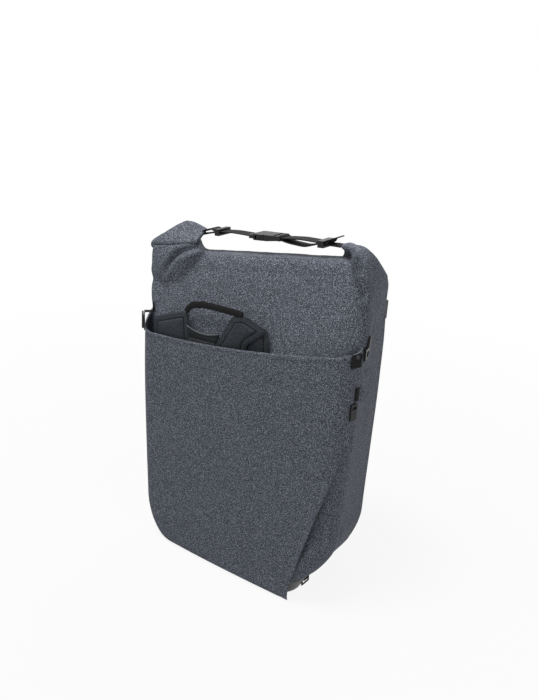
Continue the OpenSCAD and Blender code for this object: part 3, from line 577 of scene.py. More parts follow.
# Creases of the coated fabric: points along each, its depth and its half width.
# A negative depth makes a ridge.
CREASES = [
    ([(-84, -60, 464), (-97, -68, 459), (-114, -74, 452), (-128, -77, 443), (-138, -80, 427),
      (-145, -82, 411)], 7, 4.5),
    ([(-152, -82, 402), (-150, -84, 388), (-144, -88, 362)], 2.4, 9),
    ([(-128, -83, 405), (-120, -85, 385), (-116, -88, 366)], -1.6, 8),
    ([(-96, -78, 446), (-84, -78, 440), (-66, -78, 446)], -1.2, 7),
    ([(158, -58, 474), (151, -74, 460), (143, -80, 440), (134, -84, 418)], -2.6, 5.5),
    ([(166, -50, 456), (157, -72, 442), (148, -80, 422)], 2.2, 5.5),
    ([(124, -78, 470), (130, -82, 452), (126, -84, 430)], -1.3, 7),
    ([(166, -62, 332), (166, -52, 318), (165, -42, 304)], 3.6, 5),
    ([(166, -54, 322), (164, -40, 312), (163, -26, 312)], -3.0, 4.5),
    ([(163, -4, 318), (163, -14, 306), (163, -24, 290)], -3.2, 4.5),
    ([(160, 4, 268), (162, -10, 258), (163, -26, 250)], -2.8, 4.5),
    ([(165, -52, 354), (164, -36, 342), (162, -14, 338)], 2.6, 6),
    ([(156, -42, 108), (153, -50, 98), (140, -66, 70), (122, -75, 38)], -2.8, 4),
    ([(158, -58, 116), (152, -64, 100), (142, -78, 76), (126, -84, 44)], 2.6, 5),
    ([(132, -96, 96), (127, -95, 82), (124, -90, 44)], 2.0, 4),
    ([(160, 6, 412), (161, -8, 392), (163, -24, 380)], -1.5, 7),
    ([(164, 30, 240), (165, 10, 222), (166, -14, 214)], 1.5, 8),
    ([(150, 50, 180), (158, 20, 160), (164, -10, 150)], -1.2, 8),
    ([(-60, -82, 430), (-20, -80, 438), (30, -80, 444)], -1.0, 12),
    ([(40, -84, 420), (80, -84, 414), (112, -84, 400)], 0.9, 11),
]


def creased(points, out, creases):
    """The points moved along their normals into the creases."""
    move = np.zeros(len(points))
    for route, depth, width in creases:
        line = smoothed(route, 28)
        reach = np.flatnonzero(np.linalg.norm(points - line.mean(axis=0), axis=1) < 90 + 4 * width)
        near = np.linalg.norm(points[reach][:, None] - line[None], axis=2)
        at = near.argmin(axis=1)
        far = near[np.arange(len(reach)), at]
        taper = np.sin(math.pi * (at + 1) / (len(line) + 1)) ** 0.6
        lips = np.exp(-((far - 1.9 * width) / width) ** 2)
        move[reach] += depth * taper * (0.35 * lips - np.exp(-(far / width) ** 2))
    return points + out * move[:, None]


def bag_skin():
    """The coated fabric from the base to the folded ends of the roll, as one skin."""
    turn_z = roll_floor - 14
    right_start, left_start = (112, -60), (-120, -20)
    rings = [bag_ring(z) for z in spaced(base_h + gap, turn_z, 4)]
    for a in np.linspace(0, 90, 16)[1:]:
        s, c = sin_cos(a)
        z = turn_z + crown_rise * s
        rings.append(bag_ring(min(z, roll_floor), inset=crown_w * (1 - c), level=z))
    rings = [[(x, y, z + crest_rise(x) * smooth(z, turn_z - 60, turn_z + 20)) for x, y, z in ring]
             for ring in rings]
    # Each lobe grows out of the bag's own plan a little below the crest
    right_waist = bag_ring(back_h - 26, grow=-1.5)
    left_waist = bag_ring(back_h + 6, grow=-0.5)
    right = [p for p in right_waist if p[0] > right_start[0] and p[1] > right_start[1]]
    left = [p for p in left_waist if p[0] < left_start[0] and p[1] < left_start[1]]
    corners = (right + RIGHT_LOBE, RIGHT_LIP, RIGHT_FILL, left + LEFT_LOBE)
    lobes = [hull(points) for points in corners]
    skin = build("bag_skin", *joined(loft(rings), *lobes))
    voxel, passes = ((2.5, 14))
    apply_modifier(skin, "REMESH", mode="VOXEL", voxel_size=voxel * MM)
    apply_modifier(skin, "SMOOTH", factor=0.5, iterations=passes)
    co, out = surface(skin)
    co = creased(co, out, CREASES)
    high = np.clip((co[:, 2] - 330) / 90, 0.25, 1)
    loose = 0.9 * field(co, 62, 3) + 0.35 * field(co, 21, 8) * high
    set_coordinates(skin, co + out * (loose * high)[:, None])
    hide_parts("body_shell", "roll_top")
    wear(skin, FINISHES["coated_fabric"])


def base_skin():
    """Black underside that wraps up to the welded seam."""
    levels = [0, 0.3, 1, 2, 3.5, 5.5, 8, 11, 14, 17, base_h, base_h + 0.6]
    rings = [bag_ring(z, grow=0.4 if z < base_h - 1 else 0.2) for z in levels]
    base = build("base_skin", *loft(rings))
    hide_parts("base_panel")
    wear(base, FINISHES["base_fabric"])


# ---------- Front cover ----------

def cover_along(u, start, left, right, end):
    """Arc length at a share u of the cover's width; turn is the share that each side takes up."""
    turn = 0.26
    flat_end = min(right, end - 4)
    if u < turn:
        return mix(start, left, u / turn)
    if u < 1 - turn:
        return mix(left, flat_end, (u - turn) / (1 - 2 * turn))
    return mix(flat_end, end, (u - 1 + turn) / turn)


def cover_hw(z, side=-1):
    """Half width of the cover at a height; only its left side draws in at the foot."""
    draw = round_in(z, corner_w * cover_in * 0.8, corner_h * cover_in) if side < 0 else 0
    return front_hw + swell(z) + gap + 2 * smooth(z, 20, 140) - draw


def cover_y(z):
    """Inner face of the cover at a height."""
    return front_y + cover_crown + cover_t + round_in(z, 8, 8)


def cover_end(z):
    """Arc length from mid-width to the cover's slanting right edge."""
    full = cover_hw(z, 1) - edge_r + edge_r * math.pi / 2 + side_lap
    return min(full, cover_foot + max(0, z - 20) * (full - cover_foot) / (slant_h - 20))


def cover_start(z):
    """Arc length from mid-width to the cover's left edge, negative."""
    return -(cover_hw(z) - edge_r + edge_r * math.pi / 2 + side_lap)


def hem(u):
    """Height of the cover's upper edge at a share u of its width."""
    flat = front_hw + belly + gap + 2 - edge_r
    half = flat + edge_r * math.pi / 2 + side_lap
    v = 0.5 + cover_along(u, -half, -flat, flat, half) / (2 * half)
    corner = 0.12
    lift = corner_lift * (1 - v / corner) ** 2 if v < corner else 0
    return mix(cover_h - hem_drop, cover_h, v ** hem_curve) + lift


def cover_point(a, z, g):
    """Point at arc length a from mid-width on the cover at a height, g outside its inner face."""
    side = -1 if a < 0 else 1
    hw = cover_hw(z, side) + g
    y = cover_y(z) - g
    r = edge_r + g
    s = abs(a)
    flat = hw - r
    turn = r * math.pi / 2
    if s <= flat:
        return (a, y - cover_crown * (1 - (s / flat) ** 2), z)
    if s <= flat + turn:
        t = (s - flat) / r
        return (side * (flat + r * math.sin(t)), y + r - r * math.cos(t), z)
    back = s - flat - turn
    return (side * (hw - back * side_slope), y + r + back, z)


def front_cover():
    """Open pocket over the front, with its welded hem and slanting right edge."""
    cols, rows = 190, 170
    weld_depth, weld_w, inner_gap = 0.55, 2.2, 0.6
    outer, inner = [], []
    for j in range(rows + 1):
        share = (j / rows) ** 1.15
        for sheet, g in ((outer, cover_t), (inner, inner_gap)):
            row = []
            for i in range(cols + 1):
                u = i / cols
                z = mix(cover_bottom, hem(u), share)
                left, right = edge_r - cover_hw(z), cover_hw(z, 1) - edge_r
                a = cover_along(u, cover_start(z), left, right, cover_end(z))
                from_edge = min(hem(u) - z, (cover_end(z) - a) * 0.93)
                groove = weld_depth * math.exp(-((from_edge - hem_width) / weld_w) ** 2)
                row.append(cover_point(a, z, g - (groove if g == cover_t else 0)))
            sheet.append(row)
    rings = [o + i[::-1] for o, i in zip(outer, inner)]
    points, faces = loft(rings, caps=False)
    n = 2 * (cols + 1)
    for j in (0, rows):
        for i in range(cols):
            quad = [j * n + i, j * n + i + 1, j * n + n - 2 - i, j * n + n - 1 - i]
            faces.append(quad if j else quad[::-1])
    cover = build("cover_fabric", points, faces)
    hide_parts("front_cover")
    wear(cover, FINISHES["coated_fabric"])


# ---------- Harness in the pocket ----------

def sewn_line(name, form, finish, body="bag"):
    """Row of stitches, seam or piping on a padded piece."""
    line = build(name, *form, body=body)
    wear(line, FINISHES[finish])


def pad_height(far):
    """Share of a pad's thickness at a distance from its edge: a bound border, a crowned middle."""
    rim = np.sqrt(1 - (1 - np.clip(far / 1.6, 0, 1)) ** 2)
    middle = np.sqrt(1 - (1 - np.clip((far - pad_border) / pad_roll, 0, 1)) ** 2)
    ridge = np.exp(-((far - pad_border + 1.6) / 0.9) ** 2)
    groove = np.exp(-((far - pad_border - 0.4) / 0.8) ** 2)
    return 0.16 + rim * 0.36 + ridge * 0.1 - groove * 0.16 + middle * 0.44


def inset_path(outline, far, y_at, keep=None):
    """Rows of points at a distance inside an outline, on the surface y_at, where keep(x, z) holds."""
    rim = evenly(outline, 1.0)
    tangent = np.roll(rim, -1, axis=0) - np.roll(rim, 1, axis=0)
    tangent /= np.linalg.norm(tangent, axis=1)[:, None]
    line = rim + np.stack([-tangent[:, 1], tangent[:, 0]], axis=1) * far
    good = edge_distance(line, rim) > far - 0.15
    if keep:
        good &= np.array([bool(keep(x, z)) for x, z in line])
    rows, row = [], []
    for spot, fine in zip(line, good):
        if fine and (not row or np.linalg.norm(spot - row[-1]) < 6):
            row.append(spot)
        else:
            rows, row = rows + [row], [spot] if fine else []
    rows = [np.array(r) for r in rows + [row] if len(r) > 6]
    return [np.stack([r[:, 0], y_at(r, edge_distance(r, rim)), r[:, 1]], axis=1) for r in rows]


def strap_pad(name, node, outline, y0, t):
    """Padded strap: crowned front, flat back, bound edge, a row of stitches and the seam by it, painted
    near black as the shadow in its groove.
    """
    def front(spots, far):
        wave = np.array([noise.noise(Vector((x / 16, z / 22, y0))) for x, z in spots])
        return y0 + t * (1 - pad_height(far)) + 0.35 * wave * np.clip(far / 10, 0, 1)

    def back(spots, far):
        return y0 + t - 0.2 - 0.8 * np.clip(1 - far / 1.6, 0, 1) ** 2

    pad = build(name, *panel_form(outline, 1.7, front, back), body="harness")
    if node:
        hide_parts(node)
    wear(pad, FINISHES["padding"])

    def in_sight(x, z):
        return z > cover_h - 70

    rows = inset_path(outline, pad_border - 2.6, front, in_sight)
    threads = joined(*(stitches(r, (0, -1, 0), r=0.26) for r in rows))
    sewn_line(name + "_stitches", threads, "thread", "harness")
    # The seam in the groove by the border is near black: painted shadow of the groove
    rows = inset_path(outline, pad_border + 0.4, front, in_sight)
    sunk = np.array([0, 0.1, 0])
    seams = joined(*(swept(r + sunk, oval(1.3, 1.5, 8)) for r in rows))
    sewn_line(name + "_seam_shade", seams, "seam", "harness")


def shoulder_straps():
    """Left strap, and the right one with its end turned over in front of itself."""
    left = filleted([
        (-149, pad_low), (-70.5, pad_low), (-87, pad_top + 3), (-95, pad_top + 7.5), (-150, pad_top - 13.5),
    ], 5)
    strap_pad("pad_left", "harness_pad_left", left, pad_y, pad_t)
    right = filleted([
        (-37, pad_low), (-42, 322), (-37, 340), (-11, pad_top + 20), (3, pad_top + 25), (12, pad_top + 25),
        (42, pad_top + 16), (44, pad_top + 11), (16, pad_top - 12), (11, 330), (10, pad_low),
    ], 4.5)
    strap_pad("pad_right", "harness_pad_right", right, pad_y, 4.4)
    turned = filleted([
        (0, pad_low), (3, 345), (16, pad_top + 6), (40, pad_top + 17), (47, pad_top + 12),
        (49, pad_top - 14), (47, pad_low),
    ], 4)
    strap_pad("pad_right_turned", None, turned, pad_y + 4.2, 2.8)


def yoke_parts():
    """Gathered cloth between the straps, its piping and the mesh in front of it."""
    foot = 262
    rise = smoothed([(-89, 0, 354), (-77, 0, 350.5), (-64, 0, 349), (-50, 0, 350), (-33, 0, 355)], 30)
    upper = [(x, z) for x, _, z in rise[::-1]]
    outline = np.array([(-73, foot), (-41, foot), (-43, 322), (-34, 345)] + upper)

    def gathered(spots, far):
        fold = np.sin(spots[:, 1] / 5 + spots[:, 0] / 30)
        return pad_y + 3.6 + 0.7 * fold * np.clip(far / 6, 0, 1)

    def flat_back(spots, far):
        return pad_y + 6.4 + 0 * far

    yoke = build("yoke_cloth", *panel_form(outline, 3.0, gathered, flat_back), body="harness")
    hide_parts("harness_yoke")
    wear(yoke, FINISHES["yoke"])
    piping = swept([(x, pad_y + 3.7, z) for x, _, z in rise], oval(2.2, 2.2, 10))
    sewn_line("yoke_piping", piping, "piping", "harness")

    def rounded_front(spots, far):
        return pad_y + 1.6 + 1.2 * np.clip(1 - far / 2, 0, 1) ** 2

    def mesh_back(spots, far):
        return pad_y + 3.2 + 0 * far

    outline = filleted([(-72, foot), (-42, foot), (-43, 322), (-36, 341), (-58, 340), (-85, 338)], 3)
    cells = build("spacer_mesh", *panel_form(outline, 2.4, rounded_front, mesh_back), body="harness")
    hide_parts("harness_mesh")
    wear(cells, FINISHES["mesh"])


def grab_loop():
    """Carry handle of the harness: a flat tube of webbing with a rib above and below."""
    arch = [(-89.5, 8.5), (-86, 14), (-78, 20), (-62, 24), (-40, 26), (-18, 26.4), (-4, 26.6), (6, 25.9)]
    route = smoothed([(x, pad_y + pad_t / 2, pad_top + z) for x, z in arch], 70)
    grab = joined(
        swept(route, oval(4.6, 8.2, 16, 0.75)),
        swept(route + np.array([0, -0.6, 4.1]), oval(1.7, 1.7, 8)),
        swept(route + np.array([0, -0.6, -3.9]), oval(1.4, 1.4, 8)),
    )
    handle = build("grab_loop", *grab, body="harness")
    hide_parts("harness_handle")
    wear(handle, FINISHES["webbing"])


# ---------- Webbing ----------

def ribbon(name, node, route, w=web_w, steps=90):
    """Tape along a route of (x, height over the strap's line) across the top."""
    path = smoothed([(x, strap_y, strap_z(x) + dz) for x, dz in route], steps)
    tape = build(name, *swept(path, ribbon_section(w, web_t)))
    if node:
        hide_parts(node)
    wear(tape, FINISHES["webbing"])


def closure_straps():
    """Tapes of the top closure, doubled through their slides."""
    ribbon("strap_left_top", "strap_left", [
        (-130, -5), (-120, -4), (-110, -2), (-102, 1.4), (-94, 3.2), (-86, 1.2), (-72, 0.9),
        (-58, 1.4), (-42, 0.9), (-26.3, 0),
    ])
    ribbon("strap_left_under", None, [
        (-128, -7.5), (-114, -6.5), (-105, -5), (-97, -3.2), (-86, -1), (-73, -0.9),
    ], web_w - 0.6, 40)
    ribbon("strap_right_under", "strap_right", [
        (24.3, -1.6), (34, -3.6), (46, -5), (60, -5.8), (72, -3), (80, -1), (92, -1),
        (101, -0.9), (113, -1.4),
    ])
    ribbon("strap_free_end", "strap_tail", [
        (24.3, 1), (38, 1.9), (54, 2.4), (80, 1.2), (93, 1.2), (97, 6), (106, 9.5),
    ])


def softened(node, name, voxel=0.5):
    """Tape over a small node's own form, with rounded edges."""
    tape = placed(name, nodes[node].data.copy())
    apply_modifier(tape, "REMESH", mode="VOXEL", voxel_size=voxel * MM)
    apply_modifier(tape, "SMOOTH", factor=0.5, iterations=3)
    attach(tape, nodes[node]["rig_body"])
    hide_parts(node)
    wear(tape, FINISHES["webbing"])


def eased(obj):
    """Softens the moulded edges of a CAD node."""
    bevel = obj.modifiers.new("edges", "BEVEL")
    bevel.width = 0.45 * MM
    bevel.segments = 2
    bevel.limit_method = "ANGLE"
    bevel.angle_limit = math.radians(38)
    bevel.harden_normals = True


def small_tapes():
    """Tabs and loops of the side hooks and base rings, and the release handle's webbing."""
    for node, name in (("cover_tab_upper", "tab_upper"), ("cover_tab_left", "tab_left"),
                       ("bag_loop_upper", "loop_upper"), ("bag_loop_left", "loop_left"),
                       ("cover_strap_lower", "strap_lower"), ("base_tabs", "ring_tabs")):
        softened(node, name)
    softened("handle_webbing", "carry_webbing", voxel=0.8)


# ---------- Back and inside ----------

def back_pad():
    """Foam-backed panel of the rack side, with a bound and stitched border."""
    top, foot, corner_z, foot_z = back_hw - 8, back_hw - 22, corner_h - 8, 38
    outline = filleted([
        (top, back_h), (top, corner_z), (foot, foot_z),
        (-foot, foot_z), (-top, corner_z), (-top, back_h),
    ], 25)

    def outer(spots, far):
        groove = np.exp(-((far - 9) / 1.1) ** 2)
        return plate_y + back_t - 0.9 * groove - 1.4 * np.clip(1 - far / 2.2, 0, 1) ** 2

    def inner(spots, far):
        return plate_y + 0.05 + 0 * far

    panel = build("back_pad", *panel_form(outline, 3.2, inner, outer))
    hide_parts("back_panel")
    wear(panel, FINISHES["padding"])
    rows = inset_path(outline, 6.5, outer)
    sewn_line("back_stitches", joined(*(stitches(r, (0, 1, 0), 4.2, 3.0) for r in rows)), "thread")


def rounded_ring(w, d, r, y, z):
    """Plan of a rounded box, centred at x = 0."""
    corners = [(1, -1, 270), (1, 1, 0), (-1, 1, 90), (-1, -1, 180)]
    return [(p[0], p[1], z) for sx, sy, a in corners
            for p in arc(sx * (w / 2 - r), y + sy * (d / 2 - r), r, a, a + 90, 7)]


def sleeve():
    """Padded sleeve hung inside the back, open at its top."""
    w, d, foot, h = back_w - 2 * back_r - 20, 18, 70, 260
    back_layers = 5.6
    y = back_y - back_layers - d / 2
    # Up the outside, over the rim and down the inside
    rings = [rounded_ring(w - 4, d - 4, 5, y, foot), rounded_ring(w, d, 7, y, foot + 3)]
    rings += [rounded_ring(w, d, 7, y, foot + z) for z in spaced(20, h - 3, 30)]
    rings += [rounded_ring(w - 1, d - 1, 6.5, y, foot + h), rounded_ring(w - 5, d - 5, 5, y, foot + h)]
    rings += [rounded_ring(w - 6, d - 6, 5, y, z) for z in (foot + h - 3, foot + 3)]
    pocket = build("sleeve_padding", *loft(rings))
    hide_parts("inner_sleeve")
    wear(pocket, FINISHES["padding"])


# ---------- Materials ----------

def linear(r, g, b):
    """Linear colour from display values of 0 to 255."""
    shares = (c / 255 for c in (r, g, b))
    return tuple(c / 12.92 if c <= 10 / 255 else ((c + 0.055) / 1.055) ** 2.4 for c in shares) + (1.0,)


class Shader:
    """A material's node tree, with short calls for what the fabrics and plastics share."""

    # Turns the noise, so that no flat face cuts it along its cells
    turned = (0.6, 0.45, 0.3)

    def __init__(self, name, colour, roughness, **sockets):
        self.material = bpy.data.materials.new(name)
        self.material.use_nodes = True
        self.tree = self.material.node_tree
        self.bsdf = self.tree.nodes["Principled BSDF"]
        self.place = self.add("ShaderNodeTexCoord").outputs["Object"]
        self.bsdf.inputs["Base Color"].default_value = colour
        self.bsdf.inputs["Roughness"].default_value = roughness
        for key, value in sockets.items():
            self.bsdf.inputs[key.replace("_", " ")].default_value = value

    def add(self, kind, **inputs):
        node = self.tree.nodes.new(kind)
        for key, value in inputs.items():
            self.put(node, key, value)
        return node

    def put(self, node, key, value):
        socket = node.inputs[key]
        if isinstance(value, bpy.types.NodeSocket):
            self.tree.links.new(value, socket)
        else:
            socket.default_value = value

    def stretched(self, x, y, z):
        """The object's coordinates scaled per axis, in repeats per metre, and turned off its faces."""
        node = self.add("ShaderNodeMapping", Vector=self.place, Scale=(x, y, z), Rotation=self.turned)
        return node.outputs["Vector"]

    def noise(self, x, y, z, detail):
        """Soft noise with its bumps per metre along each axis."""
        place = self.stretched(x, y, z)
        node = self.add("ShaderNodeTexNoise", Vector=place, Scale=1.0, Detail=detail)
        return node.outputs["Fac"]

    def math(self, operation, a, b):
        node = self.add("ShaderNodeMath")
        node.operation = operation
        self.put(node, 0, a)
        self.put(node, 1, b)
        return node.outputs[0]

    def wave(self, direction, pitch):
        """Ridges a pitch apart, in metres, across one axis."""
        scale = 2 * math.pi / (20 * pitch)
        node = self.add("ShaderNodeTexWave", Vector=self.place, Scale=scale)
        node.bands_direction = direction
        return node.outputs["Fac"]

    def ramp(self, value, *stops):
        """Colours over a value; each stop is its place and a colour in display values."""
        node = self.add("ShaderNodeValToRGB", Fac=value)
        elements = node.color_ramp.elements
        while len(elements) < len(stops):
            elements.new(0.5)
        for element, (at, colour) in zip(elements, stops):
            element.position = at
            element.color = linear(*colour)
        return node.outputs["Color"]

    def blend(self, factor, a, b):
        node = self.add("ShaderNodeMix")
        node.data_type = "RGBA"
        self.put(node, 0, factor)
        self.put(node, 6, a)
        self.put(node, 7, b)
        return node.outputs[2]

    def colour(self, value):
        self.put(self.bsdf, "Base Color", value)

    def roughness(self, value, share, least):
        """Roughness of least and more, by a share of a value."""
        self.put(self.bsdf, "Roughness", self.math("ADD", self.math("MULTIPLY", value, share), least))

    def bump(self, height, strength, distance):
        """Adds relief under what is there already; distance in millimetres."""
        node = self.add("ShaderNodeBump", Height=height, Strength=strength, Distance=distance * MM)
        sockets = self.bsdf.inputs["Normal"].links
        if sockets:
            self.put(node, "Normal", sockets[0].from_socket)
        self.put(self.bsdf, "Normal", node.outputs["Normal"])


def melange():
    """Coated fabric woven from light and dark yarn."""
    s = Shader("melange_fabric", linear(84, 87, 95), 0.8, Specular_IOR_Level=0.12)
    upright = s.noise(1500, 1500, 950, 0.0)
    level = s.noise(950, 950, 1500, 0.0)
    fine = s.noise(2600, 2600, 2600, 0.0)
    broad = s.noise(11, 11, 11, 3.0)
    yarn = s.math("ADD", s.math("MULTIPLY", upright, 0.44), s.math("MULTIPLY", level, 0.44))
    yarn = s.math("ADD", yarn, s.math("MULTIPLY", fine, 0.12))
    tone = s.ramp(yarn, (0.38, (31, 33, 39)), (0.48, (60, 63, 71)),
                  (0.57, (96, 100, 110)), (0.68, (166, 170, 182)))
    tone = s.blend(s.math("MULTIPLY", broad, 0.12), tone, linear(100, 103, 113))
    s.colour(tone)
    s.roughness(fine, 0.15, 0.7)
    weave = s.math("MAXIMUM", s.wave("X", 0.0011), s.wave("Z", 0.0011))
    s.bump(weave, 0.2, 0.06)
    s.bump(yarn, 0.4, 0.1)
    return s.material


def coated_black():
    """Black tarpaulin of the underside."""
    s = Shader("black_tarpaulin", linear(34, 34, 36), 0.5)
    grain = s.noise(900, 900, 900, 2.0)
    s.colour(s.ramp(s.noise(60, 60, 60, 4.0), (0.3, (26, 26, 28)), (0.7, (40, 41, 43))))
    s.roughness(grain, 0.25, 0.38)
    s.bump(grain, 0.4, 0.1)
    return s.material


def padding_cloth():
    """Close-woven black cloth of the shoulder straps."""
    s = Shader("padding_cloth", linear(36, 38, 41), 0.85, Specular_IOR_Level=0.14)
    fine = s.noise(1500, 1500, 700, 2.0)
    s.colour(s.ramp(fine, (0.35, (24, 27, 30)), (0.7, (70, 74, 80))))
    s.bump(s.math("MAXIMUM", s.wave("X", 0.0012), s.wave("Z", 0.0012)), 0.3, 0.12)
    s.bump(s.noise(45, 45, 45, 3.0), 0.4, 0.8)
    return s.material


def mesh_cloth():
    """Spacer mesh with its open cells, their centres painted near black as shade in the holes."""
    s = Shader("spacer_mesh", linear(30, 31, 34), 0.9, Sheen_Weight=0.05, Specular_IOR_Level=0.2)
    cells = s.add("ShaderNodeTexVoronoi", Vector=s.stretched(420, 420, 420), Scale=1.0)
    # Cell centres near black: painted shade in the open holes; the yarn round them is its own dark grey
    s.colour(s.ramp(cells.outputs["Distance"], (0.15, (10, 10, 11)), (0.55, (44, 46, 50))))
    s.bump(cells.outputs["Distance"], 0.9, 0.6)
    return s.material


def webbing_cloth(tone):
    """Ribbed black webbing."""
    s = Shader("webbing", linear(tone, tone, tone + 2), 0.75, Specular_IOR_Level=0.14)
    ribs = s.wave("X", 0.0016)
    s.colour(s.ramp(s.noise(700, 200, 700, 2.0), (0.35, (tone - 9, tone - 9, tone - 8)),
                    (0.7, (tone + 10, tone + 10, tone + 12))))
    s.bump(s.math("MAXIMUM", ribs, s.wave("Y", 0.0013)), 0.5, 0.25)
    return s.material


def plain_cloth(name, tone):
    """Dull dark cloth of the yoke, its piping and the thread, and the near-black painted shadow of the
    seams.
    """
    s = Shader(name, linear(*tone), 0.8, Specular_IOR_Level=0.12)
    fine = s.noise(1400, 1400, 1400, 2.0)
    dark, light = ([c * share for c in tone] for share in (0.8, 1.25))
    s.colour(s.ramp(fine, (0.3, dark), (0.7, light)))
    s.bump(fine, 0.4, 0.1)
    return s.material


def plastic(name, tone, roughness=0.42, grain=0.06):
    """Moulded plastic with a fine spark grain and rubbed edges."""
    s = Shader(name, linear(tone, tone, tone + 2), roughness, Specular_IOR_Level=0.32)
    speck = s.noise(2600, 2600, 2600, 1.0)
    smear = s.noise(70, 70, 70, 4.0)
    s.colour(s.ramp(smear, (0.3, (tone - 5, tone - 5, tone - 4)), (0.75, (tone + 7, tone + 7, tone + 9))))
    s.roughness(smear, 0.22, roughness - 0.1)
    s.bump(speck, 0.35, grain)
    return s.material


def metal(name, tone, roughness):
    """Turned or brushed metal."""
    s = Shader(name, linear(tone, tone, tone + 2), roughness, Metallic=1.0)
    brushed = s.noise(60, 2400, 2400, 2.0)
    s.roughness(brushed, 0.2, roughness - 0.08)
    s.bump(brushed, 0.15, 0.03)
    return s.material


def board_plastic():
    """Matt sheet of the stiffening boards."""
    s = Shader("board_sheet", linear(140, 140, 142), 0.6)
    cloud = s.noise(240, 240, 240, 3.0)
    s.colour(s.ramp(cloud, (0.3, (128, 128, 131)), (0.7, (150, 150, 152))))
    s.bump(s.noise(1200, 1200, 1200, 2.0), 0.3, 0.08)
    return s.material


def wear(obj, material):
    """Gives an object one material."""
    obj.data.materials.clear()
    obj.data.materials.append(material)


FINISHES = {
    "coated_fabric": melange(),
    "base_fabric": coated_black(),
    "padding": padding_cloth(),
    "mesh": mesh_cloth(),
    "board": board_plastic(),
    "webbing": webbing_cloth(20),
    "rail": metal("black_anodised", 70, 0.4),
    "hook_plastic": plastic("hook_plastic", 27),
    "claw_plastic": plastic("claw_plastic", 40),
    "buckle_plastic": plastic("buckle_plastic", 11, 0.38),
    "grip": plastic("grip_rubber", 46, 0.75, 0.15),
    "steel": metal("steel", 58, 0.4),
    "thread": plain_cloth("thread", (64, 67, 72)),
    # Seam lines near black: painted shadow in the pads' grooves
    "seam": plain_cloth("seam_shadow", (14, 15, 17)),
    "yoke": plain_cloth("yoke_cloth", (38, 41, 43)),
    "piping": plain_cloth("piping", (78, 81, 83)),
}


def dress_nodes():
    """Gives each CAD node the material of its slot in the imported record, and eases moulded edges."""
    for sub in frame["record"]["subparts"]:
        obj, slot = nodes[sub["node"]], sub["material_slot"]
        wear(obj, FINISHES[slot])
        if slot in ("hook_plastic", "claw_plastic", "buckle_plastic", "grip", "rail"):
            eased(obj)


# ---------- Scene ----------

def camera():
    """Camera in front of the bag's right front edge, looking down on it; places in metres."""
    data = bpy.data.cameras.new("camera")
    cam = placed("camera", data)
    cam.location = (0.6419, -0.9493, 0.7587)
    cam.rotation_mode = "QUATERNION"
    back = Vector((0.5304, -0.767, 0.361)).normalized()
    right = Vector((-0.2584, 0.2593, 0.9306)).cross(back).normalized()
    up = back.cross(right)
    cam.rotation_quaternion = Matrix((right, up, back)).transposed().to_quaternion()
    data.sensor_width = 36
    data.lens = 44.59
    data.clip_start = 0.05
    data.clip_end = 60
    bpy.context.scene.camera = cam


def lamp(name, place, target, size, power, colour):
    """Round area light, size metres across, aimed at a target."""
    data = bpy.data.lights.new(name, "AREA")
    data.shape = "DISK"
    data.size = size
    data.energy = power
    data.color = colour
    obj = placed(name, data)
    obj.location = place
    obj.rotation_mode = "QUATERNION"
    obj.rotation_quaternion = (Vector(target) - Vector(place)).to_track_quat("-Z", "Y")


def background(tree, colour, strength):
    """Even light from all round, in the world's node tree."""
    node = tree.nodes.new("ShaderNodeBackground")
    node.inputs["Color"].default_value = (*colour, 1)
    node.inputs["Strength"].default_value = strength
    return node


def shown_rays(tree):
    """1 for rays that the camera sees, also mirrored or through glass, and 0 for those that light."""
    rays = tree.nodes.new("ShaderNodeLightPath").outputs
    shown = rays["Is Camera Ray"]
    for kind in ("Is Glossy Ray", "Is Transmission Ray"):
        either = tree.nodes.new("ShaderNodeMath")
        either.operation = "MAXIMUM"
        tree.links.new(shown, either.inputs[0])
        tree.links.new(rays[kind], either.inputs[1])
        shown = either.outputs[0]
    return shown


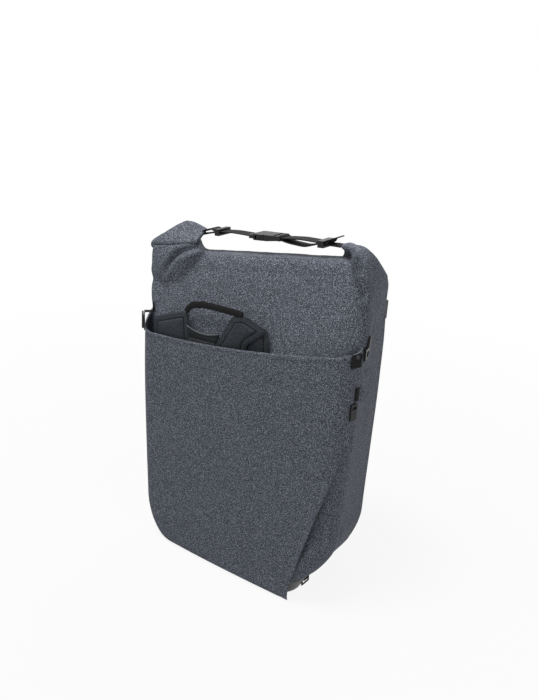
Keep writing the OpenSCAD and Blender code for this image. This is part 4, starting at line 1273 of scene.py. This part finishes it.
def studio():
    """White surroundings for the camera, softer light for the bag, and three lamps."""
    world = bpy.data.worlds.new("studio")
    bpy.context.scene.world = world
    world.use_nodes = True
    tree = world.node_tree
    tree.nodes.clear()
    link = tree.links.new
    mixer = tree.nodes.new("ShaderNodeMixShader")
    link(shown_rays(tree), mixer.inputs[0])
    link(background(tree, (0.92, 0.96, 1.0), 0.34).outputs[0], mixer.inputs[1])
    link(background(tree, (1, 1, 1), 1.0).outputs[0], mixer.inputs[2])
    link(mixer.outputs[0], tree.nodes.new("ShaderNodeOutputWorld").inputs["Surface"])

    lamp("key", (-0.4, -0.85, 3.0), (0, 0, 0.25), 1.3, 98, (1.0, 0.99, 0.97))
    lamp("fill", (2.0, -0.6, 0.7), (0, 0, 0.2), 1.4, 8, (1.0, 0.96, 0.92))
    lamp("back", (-0.6, 1.9, 1.9), (0, 0, 0.3), 1.4, 22, (0.95, 0.97, 1.0))


def floor():
    """White sweep under the bag: it takes shadows near the bag and fades into the background."""
    mesh = bpy.data.meshes.new("floor")
    r = 25.0
    mesh.from_pydata([(-r, -r, 0), (r, -r, 0), (r, r, 0), (-r, r, 0)], [], [(0, 1, 2, 3)])
    obj = placed("floor", mesh)
    s = Shader("floor", (0.5, 0.5, 0.5, 1), 0.9, Specular_IOR_Level=0.1)
    glow = s.add("ShaderNodeEmission", Strength=1.0)
    mixer = s.add("ShaderNodeMixShader")
    away = s.add("ShaderNodeVectorMath", Vector=s.place)
    away.operation = "LENGTH"
    fade = s.add("ShaderNodeMapRange", Value=away.outputs["Value"])
    for key, value in (("From Min", 0.35), ("From Max", 1.3), ("To Min", 0.9), ("To Max", 1.0)):
        fade.inputs[key].default_value = value
    s.put(mixer, 0, s.math("MULTIPLY", shown_rays(s.tree), fade.outputs["Result"]))
    s.put(mixer, 1, s.bsdf.outputs[0])
    s.put(mixer, 2, glow.outputs[0])
    out = next(n for n in s.tree.nodes if n.type == "OUTPUT_MATERIAL")
    s.put(out, "Surface", mixer.outputs[0])
    wear(obj, s.material)
    obj.location.z = -0.2 * MM


bpy.context.scene.view_settings.view_transform = "Standard"
camera()
studio()
floor()

dress_nodes()
bag_skin()
left_flap()
base_skin()
front_cover()
shoulder_straps()
yoke_parts()
grab_loop()
closure_straps()
small_tapes()
back_pad()
sleeve()
